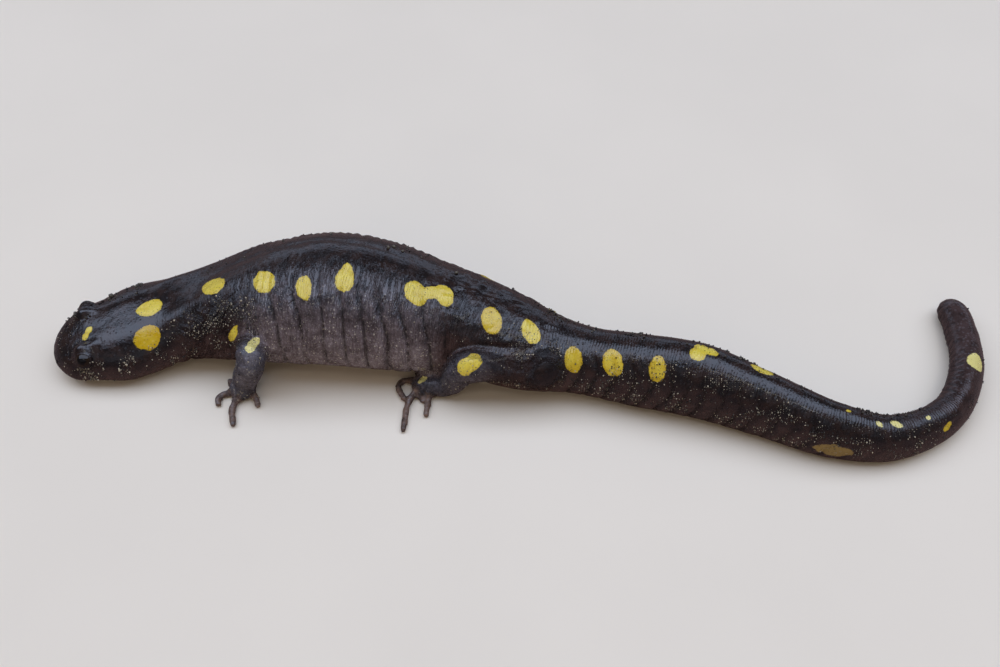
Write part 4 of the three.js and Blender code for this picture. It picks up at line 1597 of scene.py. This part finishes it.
class Soil:
    """Crumbs of wet soil stuck to the skin."""

    SCATTERS = (
        Scatter(90, (0.08, 0.30), (2.0, 22.0), (18.0, 75.0), (0.0, 0.2), 0.8),
        Scatter(90, (0.08, 0.26), (22.0, 90.0), (6.0, 60.0), (0.0, 0.2), 0.8),
        Scatter(480, (0.06, 0.24), (82.0, 146.0), (0.0, 58.0), (0.0, 0.15), 0.8),
        Scatter(60, (0.06, 0.17), (135.0, 178.0), (-130.0, -20.0), (0.0, 0.15), 0.5),
        Scatter(260, (0.05, 0.16), (3.0, 24.0), (-112.0, -50.0), (0.2, 1.0), 0.85),
        Scatter(150, (0.06, 0.20), (4.0, 24.0), (-105.0, -50.0), (0.0, 0.1), 0.85),
        Scatter(50, (0.04, 0.11), (0.8, 6.0), (-95.0, 50.0), (0.2, 1.0), 0.3),
        Scatter(430, (0.05, 0.16), (19.0, 36.0), (-100.0, -36.0), (0.1, 1.0), 0.75),
        Scatter(260, (0.06, 0.22), (19.0, 36.0), (-98.0, -36.0), (0.0, 0.1), 0.8),
        Scatter(110, (0.05, 0.12), (34.0, 80.0), (-125.0, -60.0), (0.4, 1.0), 0.4),
        Scatter(1150, (0.05, 0.14), (74.0, 146.0), (-120.0, -30.0), (0.1, 1.0), 0.75),
        Scatter(700, (0.06, 0.20), (74.0, 146.0), (-115.0, -26.0), (0.0, 0.1), 0.8),
        Scatter(45, (0.06, 0.18), (124.5, 129.0), (-80.0, -36.0), (0.0, 0.1), 0.5),
        Scatter(150, (0.04, 0.13), (0.16, 1.0), (0.0, 0.0), (0.1, 1.0), 0.7, limb="fore_left"),
        Scatter(70, (0.05, 0.15), (0.3, 0.9), (0.0, 0.0), (0.0, 0.1), 0.8, limb="fore_left"),
        Scatter(150, (0.04, 0.13), (0.2, 1.0), (0.0, 0.0), (0.05, 0.9), 0.8, limb="hind_left"),
    )
    LARGE = (Crumb(55.9, 4.0, 0.42), Crumb(56.6, 9.0, 0.3), Crumb(66.7, 3.0, 0.40), Crumb(10.6, 48.0, 0.42))
    LARGE_SINK = 0.4
    LARGE_SHADE = 0.15
    RINGS = 2
    SIDES = 5
    SMALLER = 2.2  # power that makes small crumbs more common than large ones
    UNEVEN = (0.62, 1.3)  # range of a corner's distance from the middle
    SQUASH = (0.6, 1.25)  # range of a crumb's half sizes

    def __init__(self, skin: Skin, frame_at: PartFrame) -> None:
        """Keeps the finished skin that the crumbs stick to."""
        self.skin = skin
        self.frame_at = frame_at
        self.random = np.random.default_rng(5)

    def build(self, material: bpy.types.Material) -> bpy.types.Object:
        """Makes all crumbs as one piece of small uneven lumps."""
        spots = [self._scattered(scatter) for scatter in self.SCATTERS]
        spots.append(self._large())
        middles, radii, shades = (np.concatenate([s[i] for s in spots]) for i in range(3))
        points, faces = self._lumps(middles, radii)
        piece = make_piece("soil", self.frame_at.to_frame(points), faces, material)
        put_attribute(piece.data, "shade", np.repeat(shades, len(points) // len(radii)))
        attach(piece, "root")
        LOG.info("soil: %d crumbs, %d faces", len(radii), len(faces))
        return piece

    def _scattered(self, scatter: Scatter) -> tuple[Array, Array, Array]:
        """Middles, radii and shades of a scatter, gathered in clumps by a smooth noise."""
        place, points = self.skin.place, self.skin.points
        degrees = np.degrees(place.angle)
        inside = band(place.t, *scatter.along, 1.0) * band(degrees, *scatter.degrees, 4.0)
        inside *= place.fill < 1.15
        for shape in self.skin.limbs:
            if shape.limb.name == scatter.limb:
                near, share = shape.nearness(points)
                inside = band(share, *scatter.along, 0.05) * (near < 1.6) * (place.fill > 1.15)
        clump = smoothstep(0.45, 0.8, lattice_noise(points, 1.6, 41))
        chance = inside * (1.0 - scatter.clumps + scatter.clumps * 6.0 * clump)
        pick = self.random.choice(len(points), scatter.count, replace=False, p=chance / chance.sum())
        low, high = scatter.radii
        radii = low + (high - low) * self.random.random(scatter.count) ** self.SMALLER
        shades = self.random.uniform(*scatter.shade, scatter.count)
        return self._stuck(pick, radii, scatter.sink), radii, shades

    def _large(self) -> tuple[Array, Array, Array]:
        """Middles, radii and shades of the larger crumbs."""
        t = np.array([c.t for c in self.LARGE])
        angle = np.radians([c.degrees for c in self.LARGE])
        radii = np.array([c.radius for c in self.LARGE])
        wanted = self.skin.body.surface(t, angle)
        gaps = np.linalg.norm(self.skin.points[None] - wanted[:, None], axis=2)
        pick = gaps.argmin(axis=1)
        return self._stuck(pick, radii, self.LARGE_SINK), radii, np.full(len(t), self.LARGE_SHADE)

    def _stuck(self, pick: Array, radii: Array, sink: float) -> Array:
        """Middles of crumbs on the picked points of the skin, sink times the radius above them."""
        return self.skin.points[pick] + self.skin.outward[pick] * (radii * sink)[:, None]

    def _lumps(self, middles: Array, radii: Array) -> tuple[Array, Faces]:
        """Uneven balls of few faces: each corner's radius is scaled by its own random number."""
        lat = np.linspace(math.pi / 2, -math.pi / 2, self.RINGS + 2)[1:-1]
        lon = np.linspace(0.0, -FULL_TURN, self.SIDES, endpoint=False)
        x = np.cos(lat)[:, None] * np.cos(lon)[None]
        y = np.cos(lat)[:, None] * np.sin(lon)[None]
        z = np.repeat(np.sin(lat)[:, None], self.SIDES, axis=1)
        patch = tube_patch(np.stack([x, y, z], axis=-1))
        patch.points[-2:] = [UPWARD, -UPWARD]
        count, corners = len(middles), len(patch.points)
        uneven = self.random.uniform(*self.UNEVEN, (count, corners, 1))
        squash = self.random.uniform(*self.SQUASH, (count, 1, 3))
        spin = self.random.uniform(0, FULL_TURN, count)[:, None]
        shape = patch.points[None] * uneven * squash
        x, y = turned(shape[..., 0], shape[..., 1], spin)
        points = np.stack([x, y, shape[..., 2]], axis=-1) * radii[:, None, None] + middles[:, None]
        starts = np.arange(count) * corners
        faces = [tuple(i + int(k) for i in face) for k in starts for face in patch.faces]
        return points.reshape(-1, 3), faces


# ---------------------------------------------------------------- wiring of finishes


Colour = tuple[float, float, float]
Socket = bpy.types.NodeSocket
Value = float | Colour | Socket


class Wiring:
    """Adds nodes to a node tree and joins them."""

    def __init__(self, tree: bpy.types.NodeTree) -> None:
        """Keeps the tree."""
        self.tree = tree

    def put(self, value: Value, socket: Socket) -> None:
        """Joins a socket to another, or sets its number or colour."""
        if isinstance(value, Socket):
            self.tree.links.new(value, socket)
        elif isinstance(value, tuple) and socket.type == "RGBA":
            socket.default_value = (*value, 1.0)
        else:
            socket.default_value = value

    def node(self, kind: str, values: dict[str | int, Value]) -> bpy.types.Node:
        """A new node of a kind, with values put to its inputs by name or number."""
        node = self.tree.nodes.new("ShaderNode" + kind)
        for key, value in values.items():
            self.put(value, node.inputs[key])
        return node

    def math(self, operation: str, *values: Value, clamp: bool = False) -> Socket:
        """A Math node's result."""
        node = self.node("Math", dict(enumerate(values)))
        node.operation = operation
        node.use_clamp = clamp
        return node.outputs[0]

    def times(self, first: Value, second: Value) -> Socket:
        """The product of two numbers."""
        return self.math("MULTIPLY", first, second)

    def vector(self, operation: str, first: Value, second: Value) -> Socket:
        """A Vector Math node's result."""
        node = self.node("VectorMath", {0: first, 1: second})
        node.operation = operation
        return node.outputs[0]

    def ramp(self, value: Value, low: float, high: float, start: float = 0.0, end: float = 1.0) -> Socket:
        """A smooth ramp of a value: start below low, end above high."""
        node = self.node("MapRange", dict(enumerate((value, low, high, start, end))))
        node.interpolation_type = "SMOOTHSTEP"
        return node.outputs[0]

    def mix(self, share: Value, first: Value, second: Value) -> Socket:
        """The first colour where share is 0 and the second where it is 1."""
        node = self.node("Mix", {})
        node.data_type = "RGBA"
        for value, key in ((share, 0), (first, 6), (second, 7)):
            self.put(value, node.inputs[key])
        return node.outputs[2]

    def noise(self, place: Value, scale: float, detail: float = 2.0, rough: float = 0.5) -> Socket:
        """Noise from about 0.25 to 0.75; scale counts cells to a unit of place."""
        values = {"Vector": place, "Scale": scale, "Detail": detail, "Roughness": rough}
        return self.node("TexNoise", values).outputs["Fac"]

    def cells(self, place: Value, scale: float, smooth: bool = False) -> tuple[Socket, Socket]:
        """Distance to the nearest of scattered points, and a random number of its own for each."""
        node = self.node("TexVoronoi", {"Vector": place, "Scale": scale})
        node.feature = "SMOOTH_F1" if smooth else "F1"
        apart = self.node("SeparateColor", {0: node.outputs["Color"]})
        return node.outputs["Distance"], apart.outputs[0]

    def attribute(self, name: str, vector: bool = False) -> Socket:
        """A mesh attribute as a number or a vector."""
        node = self.node("Attribute", {})
        node.attribute_name = name
        return node.outputs["Vector" if vector else "Fac"]

    def millimetres(self) -> Socket:
        """Object coordinates in millimetres."""
        place = self.node("TexCoord", {}).outputs["Object"]
        scale = self.node("VectorMath", {0: place})
        scale.operation = "SCALE"
        scale.inputs["Scale"].default_value = 1.0 / MM
        return scale.outputs[0]

    def bump(self, height: Value) -> Socket:
        """A normal from a height in millimetres."""
        return self.node("Bump", {"Distance": MM, "Height": height, "Strength": 1.0}).outputs["Normal"]


class NodeGroup:
    """A shader node group with named inputs and outputs, built once and placed in many finishes."""

    def __init__(self, name: str, takes: dict[str, str], gives: dict[str, str]) -> None:
        """Makes the group's sockets; kinds are Float, Vector and Color."""
        self.tree = bpy.data.node_groups.new(name, "ShaderNodeTree")
        for names, way in ((takes, "INPUT"), (gives, "OUTPUT")):
            for socket, kind in names.items():
                self.tree.interface.new_socket(socket, in_out=way, socket_type="NodeSocket" + kind)
        self.wiring = Wiring(self.tree)
        self.source = self.tree.nodes.new("NodeGroupInput").outputs
        self.result = self.tree.nodes.new("NodeGroupOutput").inputs

    def place(self, wiring: Wiring, **values: Value) -> bpy.types.bpy_prop_collection:
        """Puts the group in a finish; values go to its inputs by name."""
        node = wiring.tree.nodes.new("ShaderNodeGroup")
        node.node_tree = self.tree
        for name, value in values.items():
            wiring.put(value, node.inputs[name])
        return node.outputs


class WetGrain(NodeGroup):
    """Fine grain of wet skin: low pebbles, pores between them, and wrinkles that run round the body."""

    PITS, PEBBLES, GRAINS, MICRO = 1.7, 2.9, 6.5, 9.0  # cells to a mm
    PEBBLE_DEEP, GRAIN_DEEP, MICRO_HIGH, WAVE_HIGH = -0.030, -0.012, 0.010, 0.07  # heights in mm
    FOLD_DEEP = 0.09
    FOLD_STRETCH = (1.7, 0.20, 1.0)  # wrinkles are narrow along the body and long round it
    RING_TURN = 14.0  # turn of the rings' wave to a mm
    RING_HIGH = 0.024

    def __init__(self) -> None:
        """Builds the group."""
        super().__init__(
            "wet grain",
            {"Place": "Vector", "Lie": "Vector", "Crease": "Float", "Rings": "Float"},
            {"Height": "Float", "Mottle": "Float", "Pits": "Float", "Seams": "Float"},
        )
        w, take = self.wiring, self.source
        near, number = w.cells(take["Place"], self.PITS)
        pits = w.times(w.ramp(near, 0.20, 0.42, 1.0, 0.0), w.ramp(number, 0.25, 0.5))
        w.put(pits, self.result["Pits"])
        pebble, _ = w.cells(take["Place"], self.PEBBLES, smooth=True)
        w.put(w.ramp(pebble, 0.20, 0.42), self.result["Seams"])
        fine, _ = w.cells(take["Place"], self.GRAINS)
        micro = w.noise(take["Place"], self.MICRO, 2.0, 0.6)
        wrinkle = w.noise(w.vector("MULTIPLY", take["Lie"], self.FOLD_STRETCH), 1.0, 3.0, 0.55)
        valley = w.ramp(w.math("ABSOLUTE", w.math("SUBTRACT", wrinkle, 0.5)), 0.0, 0.09)
        folds = w.times(w.math("SUBTRACT", valley, 1.0), w.times(take["Crease"], self.FOLD_DEEP))
        along = w.node("SeparateXYZ", {0: take["Lie"]}).outputs[0]
        wander = w.times(w.noise(take["Place"], 0.6, 2.0), 7.0)
        ring = w.math("SINE", w.math("MULTIPLY_ADD", along, self.RING_TURN, wander))
        rings = w.times(ring, w.times(take["Rings"], self.RING_HIGH))
        height = w.times(w.noise(take["Place"], 0.9, 2.0, 0.5), self.WAVE_HIGH)
        for layer, deep in ((pebble, self.PEBBLE_DEEP), (fine, self.GRAIN_DEEP), (micro, self.MICRO_HIGH)):
            height = w.math("MULTIPLY_ADD", layer, deep, height)
        w.put(w.math("ADD", w.math("ADD", height, folds), rings), self.result["Height"])
        w.put(w.noise(take["Place"], 0.55, 4.0, 0.6), self.result["Mottle"])


class SpotPaint(NodeGroup):
    """Spots: an uneven edge round the stored outline, with pores and a deeper colour near it."""

    WAVE, ROUGHNESS = (1.1, 0.45), (5.0, 0.36)  # cells to a mm and reach in mm of the edge's waves
    PORES, PRICKS = 2.5, 5.5  # cells to a mm

    def __init__(self) -> None:
        """Builds the group."""
        colours = {name: "Color" for name in ("Faded", "Light", "Deep", "Dull")}
        super().__init__(
            "spot paint",
            {"Place": "Vector", "Inside": "Float", "Tone": "Float", **colours},
            {"Mask": "Float", "Paint": "Color"},
        )
        w, take = self.wiring, self.source
        wide = w.math("SUBTRACT", w.noise(take["Place"], self.WAVE[0], 2.0), 0.5)
        fine = w.math("SUBTRACT", w.noise(take["Place"], self.ROUGHNESS[0], 3.0, 0.65), 0.5)
        depth = w.math("MULTIPLY_ADD", wide, self.WAVE[1], take["Inside"])
        depth = w.math("MULTIPLY_ADD", fine, self.ROUGHNESS[1], depth)
        mask = w.ramp(depth, -0.03, 0.08)
        near, number = w.cells(take["Place"], self.PORES)
        pore = w.times(w.ramp(near, 0.16, 0.30, 1.0, 0.0), w.ramp(number, 0.35, 0.6))
        edge = w.ramp(depth, 0.1, 0.9, 0.85, 0.5)
        small, _ = w.cells(take["Place"], self.PRICKS)
        prick = w.ramp(small, 0.10, 0.26, 0.6, 0.0)
        holes = w.math("MAXIMUM", w.times(pore, edge), w.times(prick, edge))
        w.put(w.times(mask, w.math("SUBTRACT", 1.0, holes)), self.result["Mask"])
        rim = w.ramp(depth, 0.0, 0.55, 0.24, 0.0)
        cloud = w.ramp(w.noise(take["Place"], 0.8, 3.0), 0.35, 0.7, 0.0, 0.35)
        share = w.math("ADD", w.math("ADD", take["Tone"], rim), cloud, clamp=True)
        paint = w.mix(share, take["Light"], take["Deep"])
        paint = w.mix(w.ramp(take["Tone"], -0.9, -0.1, 0.9, 0.0), paint, take["Faded"])
        w.put(w.mix(w.ramp(take["Tone"], 1.2, 1.8), paint, take["Dull"]), self.result["Paint"])


class PaleSpecks(NodeGroup):
    """Pale flecks on the lower flanks, one in some of the cells."""

    LARGE, SMALL = 1.3, 3.1  # cells to a mm

    def __init__(self) -> None:
        """Builds the group."""
        super().__init__("pale specks", {"Place": "Vector", "Amount": "Float"}, {"Mask": "Float"})
        w, take = self.wiring, self.source
        near, number = w.cells(take["Place"], self.LARGE)
        fine, other = w.cells(take["Place"], self.SMALL)
        large = w.times(w.ramp(near, 0.10, 0.24, 1.0, 0.0), w.ramp(number, 0.45, 0.6))
        small = w.times(w.ramp(fine, 0.16, 0.32, 0.8, 0.0), w.ramp(other, 0.55, 0.7))
        w.put(w.times(w.math("MAXIMUM", large, small), take["Amount"]), self.result["Mask"])


def new_material(name: str) -> tuple[bpy.types.Material, Wiring, bpy.types.Node]:
    """A material with only a Principled shader.

    Args:
        name: Name of the finish.

    Returns:
        The material, its wiring and its Principled node.
    """
    material = bpy.data.materials.new(name)
    material.use_nodes = True
    tree = material.node_tree
    tree.nodes.clear()
    shader = tree.nodes.new("ShaderNodeBsdfPrincipled")
    output = tree.nodes.new("ShaderNodeOutputMaterial")
    tree.links.new(shader.outputs[0], output.inputs[0])
    return material, Wiring(tree), shader


@dataclass(frozen=True)
class WetSkin:
    """Wet near-black skin with yellow spots, browner and speckled low on the flanks, with painted shade in
    its creases and grooves, and painted sheen and painted warm reflection that lighten its flanks, limbs
    and underside.
    """

    dark: Colour = (0.0065, 0.0050, 0.0065)
    warm: Colour = (0.019, 0.0092, 0.0078)
    # the underside's brown, partly its own and partly a painted warm reflection from below
    under: Colour = (0.050, 0.0205, 0.0140)
    # the flanks' paler colour, partly their own and partly painted sheen
    flank: Colour = (0.290, 0.245, 0.260)
    # painted bluish sheen of the limbs
    sleeve: Colour = (0.210, 0.200, 0.235)
    toe: Colour = (0.190, 0.122, 0.088)
    # painted shade for the skin's hollows and folds
    crevice_shade: Colour = (0.0035, 0.0025, 0.0025)
    speck: Colour = (0.52, 0.46, 0.38)
    faded: Colour = (0.78, 0.68, 0.24)
    lemon: Colour = (0.76, 0.60, 0.068)
    gold: Colour = (0.53, 0.33, 0.003)
    olive: Colour = (0.25, 0.165, 0.050)
    roughness: float = 0.13
    shine: float = 0.58
    film: float = 0.24
    film_roughness: float = 0.10
    film_ior: float = 1.34

    def material(self, grain: WetGrain, paint: SpotPaint, specks: PaleSpecks) -> bpy.types.Material:
        """Joins the groups into the finish."""
        material, w, shader = new_material("wet skin")
        place, lie = w.millimetres(), w.attribute("lie", vector=True)
        low, digit, flank, hollow, sleeve, tone = (
            w.attribute(name) for name in ("low", "digit", "flank", "hollow", "sleeve", "tone")
        )
        crease, rings = w.attribute("crease"), w.attribute("rings")
        fine = grain.place(w, Place=place, Lie=lie, Crease=crease, Rings=rings)
        mottle = fine["Mottle"]
        cloudy = w.times(w.ramp(mottle, 0.36, 0.60, 0.45, 1.0), w.ramp(fine["Seams"], 0.0, 1.0, 1.0, 0.6))
        speckled = w.math("MAXIMUM", w.ramp(flank, 0.05, 0.8, 0.0, 0.9), w.times(sleeve, 0.5))
        pale = specks.place(w, Place=place, Amount=speckled)
        base = w.mix(w.ramp(mottle, 0.4, 0.62), self.dark, self.warm)
        for share, colour in (
            # the underside's brown, partly a painted warm reflection from below
            (w.times(low, w.ramp(mottle, 0.3, 0.6, 0.5, 1.0)), self.under),
            # paler flanks, partly painted sheen
            (w.times(flank, cloudy), self.flank),
            # painted sheen on the limbs
            (w.times(sleeve, cloudy), self.sleeve),
            (w.times(digit, w.ramp(mottle, 0.35, 0.6, 0.35, 1.0)), self.toe),
            (pale["Mask"], self.speck),
            # painted shade where the skin curves inwards and in the tail's folds
            (w.times(hollow, 0.9), self.crevice_shade),
        ):
            base = w.mix(share, base, colour)
        spots = paint.place(
            w,
            Place=place,
            Inside=w.attribute("spot"),
            Tone=tone,
            Faded=self.faded,
            Light=self.lemon,
            Deep=self.gold,
            Dull=self.olive,
        )
        w.put(w.mix(spots["Mask"], base, spots["Paint"]), shader.inputs["Base Color"])
        dull = w.math("MAXIMUM", hollow, w.times(fine["Pits"], 0.9))
        rough = w.ramp(mottle, 0.35, 0.65, self.roughness - 0.04, self.roughness + 0.07)
        for share, more in ((dull, 0.45), (sleeve, 0.30), (digit, -0.14)):
            rough = w.math("MULTIPLY_ADD", share, more, rough)
        w.put(rough, shader.inputs["Roughness"])
        w.put(w.bump(fine["Height"]), shader.inputs["Normal"])
        golden = w.times(spots["Mask"], w.ramp(tone, 0.5, 0.75, 0.3, 0.6))
        film = w.ramp(low, 0.0, 1.0, self.film, 0.3 * self.film)
        film = w.times(film, w.ramp(dull, 0.1, 0.8, 1.0, 0.05))
        film = w.times(film, w.ramp(w.math("MAXIMUM", sleeve, golden), 0.0, 0.6, 1.0, 0.2))
        w.put(film, shader.inputs["Coat Weight"])
        shader.inputs["Specular IOR Level"].default_value = self.shine
        shader.inputs["Coat Roughness"].default_value = self.film_roughness
        shader.inputs["Coat IOR"].default_value = self.film_ior
        return material


@dataclass(frozen=True)
class WetEye:
    """A dark glossy eye with a thin dull ring round its pupil."""

    pupil: Colour = (0.002, 0.002, 0.0025)
    iris: Colour = (0.022, 0.012, 0.006)
    pupil_turn: float = 0.50
    iris_turn: float = 0.86
    roughness: float = 0.05
    shine: float = 0.42

    def material(self) -> bpy.types.Material:
        """Colours by the turn away from where the eye looks."""
        material, w, shader = new_material("wet eye")
        turn = w.attribute("off_axis")
        fleck = w.noise(w.millimetres(), 5.0, 3.0, 0.6)
        inner = w.ramp(turn, self.pupil_turn - 0.05, self.pupil_turn + 0.05)
        outer = w.ramp(turn, self.iris_turn, self.iris_turn + 0.2, 1.0, 0.25)
        share = w.times(w.times(inner, outer), w.ramp(fleck, 0.35, 0.65, 0.4, 1.0))
        w.put(w.mix(share, self.pupil, self.iris), shader.inputs["Base Color"])
        shader.inputs["Roughness"].default_value = self.roughness
        shader.inputs["Specular IOR Level"].default_value = self.shine
        return material


@dataclass(frozen=True)
class WetSoil:
    """Wet crumbs, from near-black humus to bright tan grit, whose brightness partly stands for painted
    glints.
    """

    dark: Colour = (0.012, 0.008, 0.006)
    # tan grit, bright enough to stand partly for painted glints
    tan: Colour = (0.86, 0.74, 0.52)
    roughness: float = 0.42

    def material(self) -> bpy.types.Material:
        """Colours by each crumb's own shade."""
        material, w, shader = new_material("wet soil")
        place = w.millimetres()
        share = w.times(w.attribute("shade"), w.ramp(w.noise(place, 6.0), 0.3, 0.7, 0.6, 1.0))
        w.put(w.mix(share, self.dark, self.tan), shader.inputs["Base Color"])
        w.put(w.bump(w.times(w.noise(place, 14.0, 3.0), 0.05)), shader.inputs["Normal"])
        shader.inputs["Roughness"].default_value = self.roughness
        return material


# ---------------------------------------------------------------- studio


def toward(azimuth: float, elevation: float) -> Vector:
    """The direction at an azimuth from +X towards +Y and an elevation, both in degrees."""
    a, e = math.radians(azimuth), math.radians(elevation)
    return Vector((math.cos(a) * math.cos(e), math.sin(a) * math.cos(e), math.sin(e)))


def stand(name: str, data: bpy.types.ID, place: Vector, target: Vector) -> bpy.types.Object:
    """Stands a light or camera at a place, facing a target."""
    item = bpy.data.objects.new(name, data)
    item.location = place
    item.rotation_euler = (target - place).to_track_quat("-Z", "Y").to_euler()
    bpy.context.scene.collection.objects.link(item)
    return item


@dataclass(frozen=True)
class Softbox:
    """A rectangular light that faces the origin; lengths are in metres and angles in degrees."""

    name: str
    azimuth: float  # degrees from +X towards +Y
    elevation: float
    distance: float
    width: float
    height: float
    radiance: float
    colour: Colour
    mirrored: bool = True  # whether wet skin mirrors it
    lights: bool = True  # whether it also lights what doesn't mirror it

    def build(self) -> None:
        """Makes the light; power = radiance * pi * area."""
        light = bpy.data.lights.new(self.name, "AREA")
        light.shape = "RECTANGLE"
        light.size, light.size_y = self.width, self.height
        light.energy = self.radiance * math.pi * self.width * self.height
        light.color = self.colour
        place = toward(self.azimuth, self.elevation) * self.distance
        lamp = stand(self.name, light, place, Vector())
        lamp.visible_glossy = self.mirrored
        lamp.visible_diffuse = self.lights


@dataclass(frozen=True)
class Studio:
    """Pale floor, softboxes, dim surroundings and the camera."""

    boxes: tuple[Softbox, ...] = (
        Softbox("sky", 90.0, 84.0, 0.75, 2.1, 0.66, 2.3, (0.70, 0.82, 1.10)),
        Softbox("front fill", -105.0, 28.0, 0.9, 1.2, 0.6, 0.60, (1.0, 0.84, 0.70), False),
        Softbox("front sky", -90.0, 40.0, 0.9, 1.7, 0.34, 0.24, (0.84, 0.90, 1.05), True, False),
        Softbox("back sky", 90.0, 15.0, 1.1, 2.6, 0.26, 0.80, (0.70, 0.82, 1.12), True, False),
        Softbox("glint", -75.0, 62.0, 0.9, 0.12, 0.09, 10.0, (1.0, 0.97, 0.92)),
    )
    surroundings: Colour = (0.11, 0.09, 0.08)
    backdrop: Colour = (0.62, 0.60, 0.58)
    floor_colour: Colour = (0.88, 0.78, 0.62)
    floor_mirrored: Colour = (0.20, 0.125, 0.10)  # painted reflection: how dark and warm wet skin mirrors the floor
    floor_size: float = 3.0
    floor_roughness: float = 0.8
    floor_shade: float = 0.97  # the floor's darker patches against its colour
    camera_distance: float = 0.190
    camera_elevation: float = 50.0
    lens: float = 40.0
    sensor: float = 36.0
    near_clip: float = 0.005

    def build(self, frame_at: PartFrame) -> None:
        """Sets up the studio round the animal."""
        for box in self.boxes:
            box.build()
        self._world()
        self._floor()
        self._camera(frame_at)

    def _world(self) -> None:
        """Even dim light from all round, in front of a pale backdrop."""
        world = bpy.data.worlds.new("surroundings")
        world.use_nodes = True
        w = Wiring(world.node_tree)
        seen = w.node("LightPath", {}).outputs["Is Camera Ray"]
        w.put(w.mix(seen, self.surroundings, self.backdrop), w.tree.nodes["Background"].inputs[0])
        bpy.context.scene.world = world
        bpy.context.scene.view_settings.view_transform = "Standard"

    def _floor(self) -> None:
        """A pale floor just under the animal."""
        half = self.floor_size / 2
        corners = np.array([[-half, -half, 0], [half, -half, 0], [half, half, 0], [-half, half, 0]], float)
        material, w, shader = new_material("pale floor")
        tint = w.ramp(w.noise(w.millimetres(), 0.02, 3.0), 0.3, 0.7)
        darker: Colour = tuple(c * self.floor_shade for c in self.floor_colour)
        # painted reflection: the wet skin mirrors the floor darker and warmer than it is
        mirrored = w.node("LightPath", {}).outputs["Is Glossy Ray"]
        colour = w.mix(mirrored, w.mix(tint, darker, self.floor_colour), self.floor_mirrored)
        w.put(colour, shader.inputs["Base Color"])
        shader.inputs["Roughness"].default_value = self.floor_roughness
        floor = make_piece("floor", corners, [(0, 1, 2, 3)], material)

    def _camera(self, frame_at: PartFrame) -> None:
        """Looks at the animal's own origin from above its left side."""
        camera = bpy.data.cameras.new("camera")
        camera.lens = self.lens
        camera.sensor_width = self.sensor
        camera.clip_start = self.near_clip
        target = Vector((frame_at.shift[0] * MM, frame_at.shift[1] * MM, 0.0))
        place = target + toward(-90.0, self.camera_elevation) * self.camera_distance
        bpy.context.scene.camera = stand("camera", camera, place, target)


# ---------------------------------------------------------------- the whole


def main() -> None:
    """Builds the animal and its studio."""
    logging.basicConfig(level=logging.INFO, format="%(name)s: %(message)s")
    body = BodyLine()
    eyes = Eyes(body, EyeSeat())
    frame_at = PartFrame(eyes)
    limbs = [LimbShape(limb) for limb in LIMBS]
    skin = Skin(body, eyes, limbs, frame_at)
    skin.build(WetSkin().material(WetGrain(), SpotPaint(), PaleSpecks()))
    eye_finish = WetEye().material()
    for node, sign in (("eye_left", -1), ("eye_right", 1)):
        Eyeball(node, sign, eyes).build(eye_finish)
    Soil(skin, frame_at).build(WetSoil().material())
    Studio().build(frame_at)


if __name__ == "__main__":
    main()
